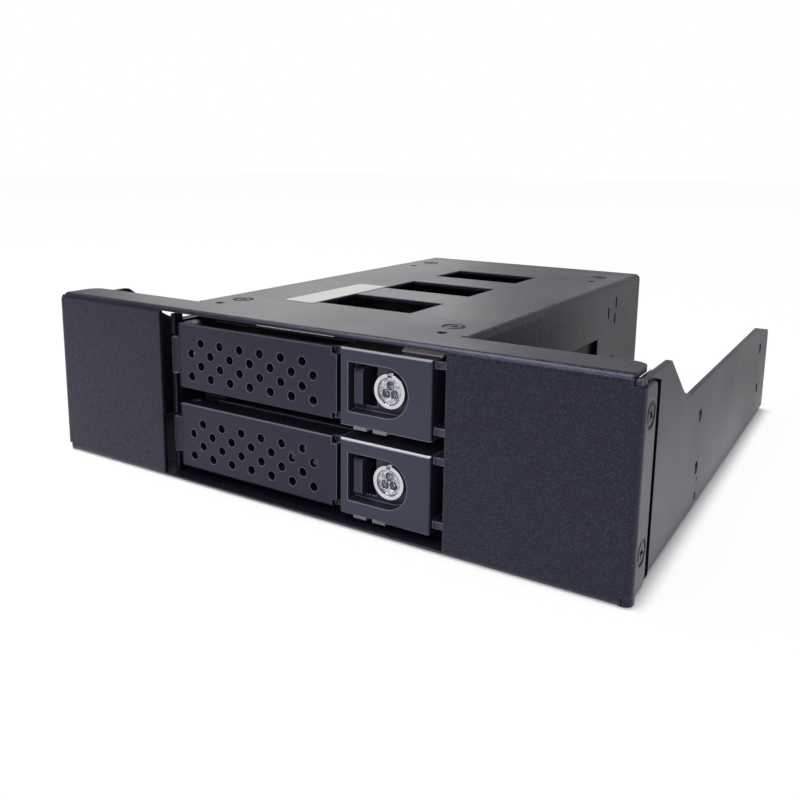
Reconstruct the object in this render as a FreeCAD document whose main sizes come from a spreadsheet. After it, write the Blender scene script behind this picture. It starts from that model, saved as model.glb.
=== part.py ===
import FreeCAD, Part
import math
import os
import Sketcher

# Hot swap drive cage: a half-height 5.25 inch bay device that holds two 2.5 inch drive trays.
# Millimetres. +X to the right seen from the front, +Y to the rear, +Z up. The origin is in the
# middle of the footprint, on the surface that the cage stands on.

Vector = FreeCAD.Vector
doc = FreeCAD.newDocument("hot_swap_drive_cage")
sheet = doc.addObject("Spreadsheet::Sheet", "sizes")
nodes = []


# ---------------------------------------------------------------- sizes and their formulas
class Size:
    """A length or angle that knows its number and its formula in the spreadsheet."""

    def __init__(self, value, formula):
        self.value = float(value)
        self.formula = formula

    def __add__(self, other):
        other = as_size(other)
        return Size(self.value + other.value, f"({self.formula} + {other.formula})")

    def __sub__(self, other):
        other = as_size(other)
        return Size(self.value - other.value, f"({self.formula} - {other.formula})")

    def __mul__(self, other):
        other = as_size(other)
        return Size(self.value * other.value, f"({self.formula} * {other.formula})")

    def __truediv__(self, other):
        other = as_size(other)
        return Size(self.value / other.value, f"({self.formula} / {other.formula})")

    def __radd__(self, other):
        return as_size(other) + self

    def __rsub__(self, other):
        return as_size(other) - self

    def __rmul__(self, other):
        return as_size(other) * self

    def __neg__(self):
        return Size(-self.value, f"(0 - {self.formula})")


def as_size(number):
    return number if isinstance(number, Size) else Size(number, repr(float(number)))


def size(name, value):
    """Writes one driving dimension to the sheet and gives it back as a Size."""
    size.row += 1
    sheet.set(f"A{size.row}", name)
    sheet.set(f"B{size.row}", repr(float(value)))
    sheet.setAlias(f"B{size.row}", name)
    return Size(value, f"sizes.{name}")


size.row = 0

# the whole device
frame_width = size("frame_width", 148.0)
frame_height = size("frame_height", 41.4)
overall_depth = size("overall_depth", 143.0)
gauge = size("gauge", 1.0)  # sheet steel of the cover and the base
bend = size("bend", 0.5)  # inside radius of their bends
play = size("play", 0.3)  # running gap between moving and fixed pieces

# front cover: face, flanges, opening
top_flange = size("top_flange", 10.0)
side_strip = size("side_strip", 7.5)
bottom_flange = size("bottom_flange", 6.0)
corner_notch = size("corner_notch", 2.0)
flange_round = size("flange_round", 3.0)
opening_left = size("opening_left", 38.1)
opening_right = size("opening_right", 37.25)

# cage part of the cover
cage_width = size("cage_width", 74.0)
cage_rear = size("cage_rear", 126.0)
wall_setback = size("wall_setback", 2.6)
relief_front = size("relief_front", 5.3)
relief_height = size("relief_height", 1.7)
foot_width = size("foot_width", 8.0)
window_length = size("window_length", 25.5)
window_depth = size("window_depth", 15.7)
window_first = size("window_first", 26.0)
window_pitch = size("window_pitch", 28.8)
window_shift = size("window_shift", 1.0)
side_window_first = size("side_window_first", 32.0)
side_window_rear = size("side_window_rear", 88.0)
side_window_low = size("side_window_low", 8.0)
side_window_high = size("side_window_high", 27.4)

# base tray
wall_top = size("wall_top", 40.0)
low_wall = size("low_wall", 29.0)
hump_depth = size("hump_depth", 20.5)
valley_depth = size("valley_depth", 35.5)
tail_depth = size("tail_depth", 123.0)
tail_drop = size("tail_drop", 3.6)
base_front = size("base_front", 1.3)

# standard bay holes
bay_hole = size("bay_hole", 1.5)
bay_first = size("bay_first", 50.0)
bay_pitch = size("bay_pitch", 79.25)
bay_low = size("bay_low", 9.91)
bay_high = size("bay_high", 21.84)
bay_bottom_width = size("bay_bottom_width", 139.7)

# screws: M3 countersunk and pan head
thread = size("thread", 1.45)  # radius of the M3 screws
front_thread = size("front_thread", 1.0)  # radius of the M2 screws
screw_clearance = size("screw_clearance", 0.1)
flat_head = size("flat_head", 2.75)
flat_head_depth = size("flat_head_depth", 1.0)

# drive trays
tray_pitch = size("tray_pitch", 19.1)
tray_base = size("tray_base", 2.8)  # underside of the lower tray's front, above the ground
face_height = size("face_height", 16.2)
face_setback = size("face_setback", 1.6)
sled_gauge = size("sled_gauge", 0.7)
drive_width = size("drive_width", 69.85)
drive_length = size("drive_length", 100.2)
drive_gap = size("drive_gap", 0.075)
sled_below = size("sled_below", 1.4)  # sled floor below the underside of the tray's front
rail_height = size("rail_height", 15.8)
block_left = size("block_left", 12.0)
block_right = size("block_right", 33.5)
block_depth = size("block_depth", 13.0)

# divider shelf
shelf_gauge = size("shelf_gauge", 0.8)

# lever
lever_left = size("lever_left", 35.4)
lever_right = size("lever_right", 10.9)
lever_setback = size("lever_setback", 2.0)
lever_plate = size("lever_plate", 1.2)
lever_margin = size("lever_margin", 0.4)
lever_depth = size("lever_depth", 6.2)
lever_wall = size("lever_wall", 1.1)
pin_radius = size("pin_radius", 0.8)
pin_x = size("pin_x", -31.8)
pin_y = size("pin_y", 5.0)
perforation = size("perforation", 1.05)
perforation_pitch = size("perforation_pitch", 5.83)
perforation_row = size("perforation_row", 2.67)

# lock and latch
lock_x = size("lock_x", 23.0)
pocket_left = size("pocket_left", 14.0)
pocket_radius = size("pocket_radius", 5.2)
pocket_depth = size("pocket_depth", 3.0)
ring_radius = size("ring_radius", 3.6)
barrel_radius = size("barrel_radius", 2.75)
latch_travel = size("latch_travel", 2.0)
latch_left = size("latch_left", 15.0)
latch_width = size("latch_width", 2.0)
latch_height = size("latch_height", 8.0)

# backplane
board_gauge = size("board_gauge", 1.6)
socket_width = size("socket_width", 41.0)
socket_shift = size("socket_shift", 4.8)

# smaller details
vent_slot_depth = size("vent_slot_depth", 102.0)
vent_slot_height = size("vent_slot_height", 31.2)
wall_round = size("wall_round", 2.5)
guide_plate = size("guide_plate", 1.6)
guide_skirt = size("guide_skirt", 1.0)
guide_reach = size("guide_reach", 12.0)
leaf = size("leaf", 0.3)
leaf_left = size("leaf_left", -21.0)
leaf_right = size("leaf_right", 34.6)
board_slot = size("board_slot", 2.4)
socket_depth = size("socket_depth", 9.5)
port_length = size("port_length", 8.4)
data_port_x = size("data_port_x", -21.0)
power_port_x = size("power_port_x", 10.0)
nut_height = size("nut_height", 1.8)
vent_width = size("vent_width", 9.0)
edge_round = size("edge_round", 0.5)
rail_notch = size("rail_notch", 9.4)
top_row_height = size("top_row_height", 11.6)
first_hole = size("first_hole", -27.2)

front = -overall_depth / 2
rear = overall_depth / 2
half_frame = frame_width / 2
half_cage = cage_width / 2
inner_cage = half_cage - gauge
half_base = half_frame - gauge
outer_bend = bend + gauge
roof = frame_height - gauge
lower_z = tray_base
upper_z = tray_base + tray_pitch
half_sled = drive_width / 2 + drive_gap + sled_gauge


# ---------------------------------------------------------------- building helpers
PLANES = {"XY": ("XY_Plane", 1), "XZ": ("XZ_Plane", -1), "YZ": ("YZ_Plane", 1)}


def bind(thing, prop, value):
    """Binds a property to its formula, so that the sheet drives it."""
    thing.setExpression(prop, as_size(value).formula)


def body(label):
    """A new part body, which becomes the node of that name."""
    made = doc.addObject("PartDesign::Body", label)
    made.Label = label
    nodes.append(made)
    return made


def sketch_on(owner, plane, place):
    """A sketch on one of the body's own planes, moved along that plane's world axis to place."""
    role, sign = PLANES[plane]
    made = owner.newObject("Sketcher::SketchObject", owner.Name + "_outline")
    origin = [f for f in owner.Origin.OriginFeatures if f.Role == role][0]
    made.AttachmentSupport = [(origin, "")]
    made.MapMode = "FlatFace"
    bind(made, "AttachmentOffset.Base.z", as_size(place) * sign)
    return made


def hold(sketch, geometry, point, across, up):
    """Fixes one point of a sketch at its distance across and up from the origin."""
    for kind, amount in (("DistanceX", across), ("DistanceY", up)):
        amount = as_size(amount)
        rule = Sketcher.Constraint(kind, -1, 1, geometry, point, amount.value)
        index = sketch.addConstraint(rule)
        sketch.setExpression(f"Constraints[{index}]", amount.formula)


def outline(sketch, points):
    """A closed outline of straight lines, each corner held by two sizes."""
    points = [(as_size(a), as_size(b)) for a, b in points]
    corners = [Vector(a.value, b.value, 0) for a, b in points]
    count = len(points)
    lines = []
    for i in range(count):
        lines.append(sketch.addGeometry(Part.LineSegment(corners[i], corners[(i + 1) % count])))
    for i in range(count):
        sketch.addConstraint(Sketcher.Constraint("Coincident", lines[i], 2, lines[(i + 1) % count], 1))
    for line, (across, up) in zip(lines, points):
        hold(sketch, line, 1, across, up)


def rectangle(sketch, left, right, low, high):
    outline(sketch, [(left, low), (right, low), (right, high), (left, high)])


def circle(sketch, across, up, radius):
    """A round hole or boss, held at its centre and by its radius."""
    across, up, radius = as_size(across), as_size(up), as_size(radius)
    shape = Part.Circle(Vector(across.value, up.value, 0), Vector(0, 0, 1), radius.value)
    made = sketch.addGeometry(shape)
    hold(sketch, made, 3, across, up)
    index = sketch.addConstraint(Sketcher.Constraint("Radius", made, radius.value))
    sketch.setExpression(f"Constraints[{index}]", radius.formula)


def pad(owner, plane, start, end, draw):
    """Adds a profile, drawn at start, along the world axis up to end."""
    profile = sketch_on(owner, plane, start)
    draw(profile)
    made = owner.newObject("PartDesign::Pad", owner.Name + "_pad")
    made.Profile = profile
    made.Reversed = PLANES[plane][1] < 0
    bind(made, "Length", as_size(end) - start)
    return made


def cut(owner, plane, start, end, draw):
    """Removes a profile from start to end along the world axis, and checks that it cut."""
    doc.recompute()
    before = owner.Shape.Volume
    profile = sketch_on(owner, plane, start)
    draw(profile)
    made = owner.newObject("PartDesign::Pocket", owner.Name + "_cut")
    made.Profile = profile
    made.Reversed = PLANES[plane][1] > 0
    bind(made, "Length", as_size(end) - start)
    doc.recompute()
    if not owner.Shape.Volume < before - 1e-6:
        raise RuntimeError(f"{owner.Label}: {made.Name} removes nothing")
    return made


def repeat(owner, feature, axis, pitch, count):
    """Repeats a feature in a straight row along one of the body's own axes."""
    made = owner.newObject("PartDesign::LinearPattern", owner.Name + "_row")
    made.Originals = [feature]
    line = [f for f in owner.Origin.OriginFeatures if f.Role == axis + "_Axis"][0]
    made.Direction = (line, [""])
    bind(made, "Length", as_size(pitch) * (count - 1))
    made.Occurrences = count
    owner.Tip = made
    doc.recompute()
    return made


def edges_where(shape, test):
    """Names of the straight edges whose ends and middle all pass the test."""
    found = []
    for number, edge in enumerate(shape.Edges, 1):
        if edge.Curve.TypeId == "Part::GeomLine" and len(edge.Vertexes) == 2:
            start, end = [v.Point for v in edge.Vertexes]
            if test(start) and test(end) and test((start + end) * 0.5):
                found.append(f"Edge{number}")
    return found


def round_edges(owner, radius, test, kind="Fillet"):
    """Rounds or bevels the straight edges that pass the test."""
    doc.recompute()
    base = owner.Tip
    names = edges_where(base.Shape, test)
    if not names:
        raise RuntimeError(f"{owner.Label}: no edge to round")
    made = owner.newObject("PartDesign::" + kind, owner.Name + "_" + kind.lower())
    made.Base = (base, names)
    bind(made, "Radius" if kind == "Fillet" else "Size", radius)
    doc.recompute()
    if made.Shape.isNull() or not made.Shape.isValid():
        raise RuntimeError(f"{owner.Label}: {made.Name} could not be made")
    return made


def near(number, amount, slack=0.01):
    return abs(number - as_size(amount).value) < slack


def box(name, low, high):
    """A block between two corners, each held by its sizes."""
    made = doc.addObject("Part::Box", name)
    for axis, side, a, b in zip("xyz", ("Length", "Width", "Height"), low, high):
        bind(made, side, as_size(b) - a)
        bind(made, "Placement.Base." + axis, a)
    return made


TURNS = {
    "+X": ("y", 90.0),
    "-X": ("y", -90.0),
    "+Y": ("x", -90.0),
    "-Y": ("x", 90.0),
    "+Z": ("z", 0.0),
    "-Z": ("x", 180.0),
}


def place(thing, point, along="+Z"):
    """Puts a primitive's base point somewhere, its own axis pointing along a world axis."""
    axis, angle = TURNS[along]
    turn = Vector(axis == "x", axis == "y", axis == "z")
    thing.Placement = FreeCAD.Placement(Vector(), FreeCAD.Rotation(turn, angle))
    for letter, amount in zip("xyz", point):
        bind(thing, "Placement.Base." + letter, amount)
    return thing


def cylinder(name, point, along, radius, length):
    made = doc.addObject("Part::Cylinder", name)
    bind(made, "Radius", radius)
    bind(made, "Height", length)
    return place(made, point, along)


def cone(name, point, along, radius, end_radius, length):
    made = doc.addObject("Part::Cone", name)
    bind(made, "Radius1", radius)
    bind(made, "Radius2", end_radius)
    bind(made, "Height", length)
    return place(made, point, along)


def prism(name, point, along, sides, radius, length):
    made = doc.addObject("Part::Prism", name)
    made.Polygon = sides
    bind(made, "Circumradius", radius)
    bind(made, "Height", length)
    return place(made, point, along)


def fuse(name, parts):
    made = doc.addObject("Part::MultiFuse", name)
    made.Shapes = parts
    return made


def take(name, base, tool):
    made = doc.addObject("Part::Cut", name)
    made.Base = base
    made.Tool = tool
    return made


def node(label, parts):
    """Makes one finished object, or a group of separate solids, the node of that name."""
    if len(parts) == 1:
        made = parts[0]
    else:
        made = doc.addObject("Part::Compound", label)
        made.Links = parts
    made.Label = label
    nodes.append(made)
    return made


# ---------------------------------------------------------------- shared places
FRONT = front.value
flange_rear = front + top_flange
cage_end = front + cage_rear
screw_hole = thread + 0.25
sink = size("sink", 0.9)
sink_radius = screw_hole + sink
guide_screw_x = size("guide_screw_x", 29.0)
guide_pin_x = size("guide_pin_x", 30.0)
guide_pin = size("guide_pin", 0.9)
guide_screws_y = [front + size("guide_screw_first", 18.5), front + size("guide_screw_rear", 111.0)]
guide_pins_y = [front + size("guide_pin_first", 11.5), front + size("guide_pin_rear", 101.0)]
strip_screw_y = front + outer_bend + sink_radius + size("strip_screw_land", 0.2)
strip_screws_z = [size("strip_screw_low", 9.1), size("strip_screw_high", 33.9)]
foot_first = size("foot_first", 22.0)
foot_rear = size("foot_rear", 112.0)
foot_screw_x = half_cage + foot_width / 2
foot_screws_y = [front + foot_first + 6, front + foot_rear - 6]

drive_front = front + block_depth + 1.8
drive_rear = drive_front + drive_length
board_front = drive_rear + 4
board_rear = board_front + board_gauge
board_half = inner_cage - 0.4
board_screw_x = size("board_screw_x", 32.5)
board_screw_low = size("board_screw_low", 8.5)
board_screw_high = size("board_screw_high", 35.0)
tab_width = size("tab_width", 6.5)

lever_notch_rear = front + size("lever_notch_depth", 9.3)
lever_tab_low = size("lever_tab_low", 3.8)
lever_tab_high = size("lever_tab_high", 12.2)
lever_tab = size("lever_tab", 1.0)

shelf_top = upper_z - sled_below - play
shelf_low = shelf_top - shelf_gauge
shelf_front = front + block_depth + 3
shelf_rear = board_front - 4
shelf_tab = size("shelf_tab", 8.0)
shelf_tabs_y = [front + size("shelf_tab_first", 19.0), front + size("shelf_tab_rear", 95.0)]
lower_rail_top = lower_z - sled_below + rail_height
upper_rail_top = upper_z - sled_below + rail_height


def circle_edges(shape, test):
    """Names of the circular edges whose centre passes the test."""
    found = []
    for number, edge in enumerate(shape.Edges, 1):
        if edge.Curve.TypeId == "Part::GeomCircle" and edge.Closed and test(edge.Curve.Center):
            found.append(f"Edge{number}")
    return found


def countersink(owner, test):
    """Bevels the round edges whose centre passes the test, to seat countersunk heads."""
    doc.recompute()
    base = owner.Tip
    names = circle_edges(base.Shape, test)
    if not names:
        raise RuntimeError(f"{owner.Label}: no hole to countersink")
    made = owner.newObject("PartDesign::Chamfer", owner.Name + "_sink")
    made.Base = (base, names)
    bind(made, "Size", sink)
    doc.recompute()
    if made.Shape.isNull() or not made.Shape.isValid():
        raise RuntimeError(f"{owner.Label}: {made.Name} could not be made")
    return made


def ordered(one, other):
    return (one, other) if one.value < other.value else (other, one)


def strip_holes(s):
    for z in strip_screws_z:
        circle(s, strip_screw_y, z, screw_hole)


def foot_holes(s, radius):
    for y in foot_screws_y:
        for x in (-foot_screw_x, foot_screw_x):
            circle(s, x, y, radius)


# ---------------------------------------------------------------- front cover
def front_cover():
    """Face, flanges, cage roof and cage walls, cut and bent from one sheet."""
    cover = body("front_cover")
    notch_x = half_frame - corner_notch
    notch_z = frame_height - corner_notch
    strip_rear = front + side_strip
    skin = front + gauge

    def face_with_flanges(s):
        flange = front + bottom_flange
        outline(s, [(front, 0), (flange, 0), (flange, gauge), (skin, gauge), (skin, roof),
                    (flange_rear, roof), (flange_rear, frame_height), (front, frame_height)])

    def face_with_strips(s):
        inside = half_frame - gauge
        outline(s, [(-half_frame, front), (half_frame, front), (half_frame, strip_rear),
                    (inside, strip_rear), (inside, skin), (-inside, skin),
                    (-inside, strip_rear), (-half_frame, strip_rear)])

    inside = half_frame - gauge
    pad(cover, "YZ", -notch_x, notch_x, face_with_flanges)
    round_edges(cover, outer_bend, lambda p: near(p.y, front) and (near(p.z, 0) or near(p.z, frame_height)))
    round_edges(cover, bend, lambda p: near(p.y, skin) and (near(p.z, gauge) or near(p.z, roof)))
    round_edges(cover, flange_round, lambda p: near(abs(p.x), notch_x) and near(p.y, flange_rear))
    round_edges(cover, flange_round, lambda p: near(abs(p.x), notch_x) and near(p.y, front + bottom_flange))
    pad(cover, "XY", corner_notch, notch_z, face_with_strips)
    round_edges(cover, outer_bend, lambda p: near(p.y, front) and near(abs(p.x), half_frame))
    round_edges(cover, bend, lambda p: near(p.y, skin) and near(abs(p.x), inside))
    round_edges(cover, corner_notch, lambda p: near(p.y, strip_rear) and (near(p.z, corner_notch)
                                                                         or near(p.z, notch_z)))

    # the roof runs on from the top flange, and the cage walls hang from it
    def roof_and_walls(s):
        outline(s, [(-half_cage, gauge), (-half_cage, frame_height), (half_cage, frame_height),
                    (half_cage, gauge), (inner_cage, gauge), (inner_cage, roof),
                    (-inner_cage, roof), (-inner_cage, gauge)])

    def flange_joint(s):
        rectangle(s, -half_cage + relief, half_cage - relief, roof, frame_height)

    relief = outer_bend + 0.5
    roof_front = flange_rear + gauge
    pad(cover, "XZ", roof_front, cage_end, roof_and_walls)
    pad(cover, "XZ", flange_rear - 1, roof_front + 1, flange_joint)
    round_edges(cover, outer_bend, lambda p: near(abs(p.x), half_cage) and near(p.z, frame_height))
    round_edges(cover, bend, lambda p: near(abs(p.x), inner_cage) and near(p.z, roof)
                and p.y > FRONT + 1)
    relief_high = roof - gauge
    relief_low = relief_high - relief_height

    def wall_nose(s):
        hook = front + relief_front
        back = roof_front + 1
        foot = gauge + play
        nose = front + wall_setback
        outline(s, [(nose, foot), (back, foot), (back, relief_low), (hook, relief_low),
                    (hook, relief_high), (nose, relief_high)])

    for side in (-1, 1):
        low, high = ordered(inner_cage * side, half_cage * side)
        pad(cover, "YZ", low, high, wall_nose)

    # outward feet that stand on the base
    for side in (-1, 1):
        left, right = ordered(inner_cage * side, (half_cage + foot_width) * side)
        pad(cover, "XZ", front + foot_first, front + foot_rear,
            lambda s: rectangle(s, left, right, gauge, gauge * 2))
    round_edges(cover, bend, lambda p: near(abs(p.x), half_cage) and near(p.z, gauge * 2))

    # tabs bent in from the walls behind the trays, which hold the backplane's lower corners
    tab_low, tab_high = board_screw_low - 3.5, board_screw_low + 3.5

    def tabs(s):
        for side in (-1, 1):
            left, right = ordered((inner_cage - tab_width) * side, (inner_cage + 0.5) * side)
            rectangle(s, left, right, tab_low, tab_high)

    def tab_windows(s):
        for side in (-1, 1):
            left, right = ordered((inner_cage - 1) * side, (half_cage + 1) * side)
            rectangle(s, left, right, tab_low, tab_high)

    def tab_holes(s):
        for side in (-1, 1):
            circle(s, board_screw_x * side, board_screw_low, thread + 0.05)

    pad(cover, "XZ", board_front - gauge, board_front, tabs)
    cut(cover, "XZ", board_rear + 0.2, board_rear + 0.2 + 5, tab_windows)
    cut(cover, "XZ", board_front - gauge - 1, board_front + 1, tab_holes)

    # openings: the tray mouth, the roof windows, and everything cut through both walls
    cut(cover, "XZ", front - 1, front + outer_bend + 0.1,
        lambda s: rectangle(s, -opening_left, opening_right, gauge, roof))
    window_left = window_shift - window_length / 2
    first = front + window_first

    def roof_openings(s):
        for i in range(3):
            start = first + window_pitch * i
            rectangle(s, window_left, window_left + window_length, start, start + window_depth)
        for side in (-1, 1):
            for y in guide_screws_y:
                circle(s, guide_screw_x * side, y, screw_hole)
            for y in guide_pins_y:
                circle(s, guide_pin_x * side, y, guide_pin + 0.1)

    def wall_openings(s):
        middle = front + (side_window_first + side_window_rear) / 2
        rectangle(s, front + side_window_first, middle - 2, side_window_low, side_window_high)
        rectangle(s, middle + 2, front + side_window_rear, side_window_low, side_window_high)
        slot = front + vent_slot_depth
        for across, up in ((0, 0), (0.6, 4.6), (-6, 2.3)):
            low = vent_slot_height + up - 1.5
            rectangle(s, slot + across, slot + across + 1, low, low + 3)
        for y in shelf_tabs_y:
            rectangle(s, y - screw_clearance, y + shelf_tab + screw_clearance,
                      shelf_low - screw_clearance, shelf_top + screw_clearance)

    def lever_notches(s):
        for base in (lower_z, upper_z):
            rectangle(s, front + wall_setback - 1, lever_notch_rear,
                      base + lever_tab_low - 0.5, base + lever_tab_high + 0.5)

    cut(cover, "XY", roof - 1, frame_height + 1, roof_openings)
    cut(cover, "YZ", -half_cage - 1, half_cage + 1, wall_openings)
    cut(cover, "YZ", -half_cage - 1, -inner_cage + 1, lever_notches)

    # screw holes in the side strips and the feet, countersunk where the heads are flat
    cut(cover, "YZ", half_frame - gauge - 0.5, half_frame + 1, strip_holes)
    cut(cover, "YZ", -half_frame - 1, -half_frame + gauge + 0.5, strip_holes)
    cut(cover, "XY", gauge - 0.5, gauge * 2 + 1, lambda s: foot_holes(s, thread + 0.05))
    countersink(cover, lambda c: near(c.z, frame_height) and near(abs(c.x), guide_screw_x))
    countersink(cover, lambda c: near(abs(c.x), half_frame) and near(c.y, strip_screw_y))


# ---------------------------------------------------------------- base tray
def base_tray():
    """The U-shaped base: a floor with a full-height hump at the front of each side wall."""
    base = body("base_tray")
    inside = half_base - gauge

    def u_profile(s):
        outline(s, [(-half_base, 0), (half_base, 0), (half_base, wall_top), (inside, wall_top),
                    (inside, gauge), (-inside, gauge), (-inside, wall_top), (-half_base, wall_top)])

    def above_the_wall(s):
        hump, valley, tail = front + hump_depth, front + valley_depth, front + tail_depth
        over = wall_top + 1
        outline(s, [(hump, over), (hump, wall_top), (valley, low_wall), (tail, low_wall),
                    (rear, low_wall - tail_drop), (rear + 1, low_wall - tail_drop), (rear + 1, over)])

    pad(base, "XZ", front + base_front + 0.3, rear, u_profile)
    cut(base, "YZ", -half_base - 1, half_base + 1, above_the_wall)
    cut(base, "XZ", front, front + bottom_flange + play,
        lambda s: rectangle(s, -half_base - 1, half_base + 1, -1, corner_notch))
    round_edges(base, outer_bend, lambda p: near(abs(p.x), half_base) and near(p.z, 0))
    round_edges(base, bend, lambda p: near(abs(p.x), inside) and near(p.z, gauge))
    round_edges(base, wall_round, lambda p: near(p.y, front + hump_depth) and near(p.z, wall_top))
    round_edges(base, wall_round, lambda p: near(p.y, front + valley_depth) and near(p.z, low_wall))
    round_edges(base, wall_round, lambda p: near(p.y, front + tail_depth) and near(p.z, low_wall))
    round_edges(base, wall_round, lambda p: near(p.y, rear) and near(p.z, low_wall - tail_drop))

    # bay mounting holes through both walls, with the small punchings beside them
    bay_y = [front + bay_first, front + bay_first + bay_pitch]

    def wall_openings(s):
        for y in bay_y:
            for z in (bay_low, bay_high):
                circle(s, y, z, bay_hole)
        for across, up, wide, tall in ((0.6, 2.4, 1.4, 1.6), (1.2, 6.4, 1.0, 1.0),
                                       (bay_pitch - 2.4, 4.6, 1.0, 1.4)):
            left = front + bay_first + across - wide / 2
            rectangle(s, left, left + wide, as_size(up), as_size(up + tall))
        strip_holes(s)

    # bottom mounting holes, foot screws, and vents under the trays
    def floor_openings(s):
        for y in bay_y:
            for x in (-bay_bottom_width / 2, bay_bottom_width / 2):
                circle(s, x, y, bay_hole)
        foot_holes(s, screw_hole)
        for i in range(3):
            start = front + window_first + window_pitch * i
            rectangle(s, -window_length / 2 - 4, window_length / 2 + 4, start, start + window_depth)

    cut(base, "YZ", -half_base - 1, half_base + 1, wall_openings)
    cut(base, "XY", -1, gauge + 1, floor_openings)
    countersink(base, lambda c: near(c.z, 0) and near(abs(c.x), foot_screw_x))


# ---------------------------------------------------------------- inside the cage
def divider_shelf():
    """The floor of the upper tray and the hold-down of the lower one, tabbed into the walls."""
    shelf = body("divider_shelf")
    flange = inner_cage - shelf_gauge

    def profile(s):
        low = lower_rail_top + play
        outline(s, [(-inner_cage, low), (-inner_cage, shelf_top), (inner_cage, shelf_top),
                    (inner_cage, low), (flange, low), (flange, shelf_low),
                    (-flange, shelf_low), (-flange, low)])

    pad(shelf, "XZ", shelf_front, shelf_rear, profile)
    for y in shelf_tabs_y:
        pad(shelf, "XZ", y, y + shelf_tab,
            lambda s: rectangle(s, -half_cage, half_cage, shelf_low, shelf_top))
    first = front + window_first
    vent_half = window_length / 2 + 8
    vent = cut(shelf, "XY", shelf_low - 1, shelf_top + 1,
               lambda s: rectangle(s, -vent_half, vent_half, first, first + window_depth))
    repeat(shelf, vent, "Y", window_pitch, 3)
    round_edges(shelf, bend, lambda p: near(abs(p.x), flange) and near(p.z, shelf_low))


def guide(label, side):
    """A moulded guide under the roof: it holds the upper tray down and the backplane up."""
    made = body(label)
    plate, skirt, reach = guide_plate, guide_skirt, guide_reach
    start = front + block_depth + 2

    def across(near_wall, far_wall):
        return ordered((inner_cage - near_wall) * side, (inner_cage - far_wall) * side)

    left, right = across(0.1, reach)
    pad(made, "XZ", start, board_front, lambda s: rectangle(s, left, right, roof - plate, roof))
    round_edges(made, bend + 0.3, lambda p: near(abs(p.x), inner_cage - 0.1) and near(p.z, roof))
    left, right = across(0.1, skirt)
    pad(made, "XZ", start, shelf_rear,
        lambda s: rectangle(s, left, right, upper_rail_top + play, roof - plate / 2))
    left, right = across(0.1, reach - 4)
    low = board_screw_high - 3.6
    pad(made, "XZ", board_front - 3.4, board_front, lambda s: rectangle(s, left, right, low, roof - plate / 2))
    for y in guide_screws_y:
        pad(made, "XY", roof - 2.9, roof - plate / 2,
            lambda s: circle(s, guide_screw_x * side, y, 3.2))
        cut(made, "XY", roof - 4, roof + 1,
            lambda s: circle(s, guide_screw_x * side, y, thread + 0.05))
    for y in guide_pins_y[1:]:
        pad(made, "XY", roof - plate / 2, frame_height - 0.2,
            lambda s: circle(s, guide_pin_x * side, y, guide_pin))
    cut(made, "XZ", board_front - 8, board_front + 1,
        lambda s: circle(s, board_screw_x * side, board_screw_high, thread + 0.05))
    ribs = (guide_screws_y[1] - guide_screws_y[0]) / 4
    left, right = across(skirt / 2, reach - 2)
    rib = pad(made, "XZ", guide_screws_y[0] + ribs, guide_screws_y[0] + ribs + 1.2,
              lambda s: rectangle(s, left, right, roof - 2.6, roof - plate / 2))
    repeat(made, rib, "Y", ribs, 3)


def ground_spring():
    """A spring-steel strip under the top flange whose fingers bear down on the upper tray."""
    made = body("ground_spring")
    back = front + 9.5
    pad(made, "YZ", leaf_left, leaf_right,
        lambda s: rectangle(s, back - 3.5, back, roof - leaf, roof))

    def finger(tip_y, tip_z):
        def draw(s):
            outline(s, [(back - 1, roof - leaf / 2), (back, roof - leaf), (back, roof - leaf * 2),
                        (tip_y, tip_z), (tip_y, tip_z + leaf)])
        return draw

    for left, right, tip_y, drop in ((-13.0, 8.0, 5.0, 1.2), (25.0, 34.0, 4.4, 1.9)):
        pad(made, "YZ", left, right, finger(front + tip_y, roof - drop - leaf))


# ---------------------------------------------------------------- backplane
def backplane_board():
    board = body("backplane_board")
    low, high = gauge + 0.4, roof - 0.3
    pad(board, "XZ", board_front, board_rear,
        lambda s: rectangle(s, -board_half, board_half, low, high))
    for side in (-1, 1):
        for z in (board_screw_low, board_screw_high):
            cut(board, "XZ", board_front - 1, board_rear + 1,
                lambda s: circle(s, board_screw_x * side, z, screw_hole))
    middle = (lower_z + upper_z + face_height) / 2
    for x, half in ((0, 9), (-22, 7)):
        cut(board, "XZ", board_front - 1, board_rear + 1,
            lambda s: rectangle(s, as_size(x) - half, as_size(x) + half, middle - board_slot / 2, middle + board_slot / 2))


def drive_socket(label, base):
    """The receptacle that a drive's edge connector plugs on to."""
    socket = body(label)
    centre = base + 3.8
    left = socket_shift - socket_width / 2
    right = socket_shift + socket_width / 2
    pad(socket, "XZ", board_front - socket_depth, board_front,
        lambda s: rectangle(s, left + 3, right - 3, centre - 2.6, centre + 2.6))
    pad(socket, "XZ", board_front - 4, board_front,
        lambda s: rectangle(s, left, right, centre - 2.6, centre + 2.6))
    for start, length in ((4.2, 11.2), (17.0, 19.8)):
        cut(socket, "XZ", board_front - socket_depth - 1, board_front - 3,
            lambda s: outline(s, [(left + start, centre - 0.7), (left + start + length, centre - 0.7),
                                  (left + start + length, centre + 1.6),
                                  (left + start + length - 1.4, centre + 1.6),
                                  (left + start + length - 1.4, centre + 0.7),
                                  (left + start, centre + 0.7)]))
    round_edges(socket, 0.8, lambda p: near(p.y, board_front - socket_depth)
                and (near(p.x, left + 3) or near(p.x, right - 3)), "Chamfer")


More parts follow.
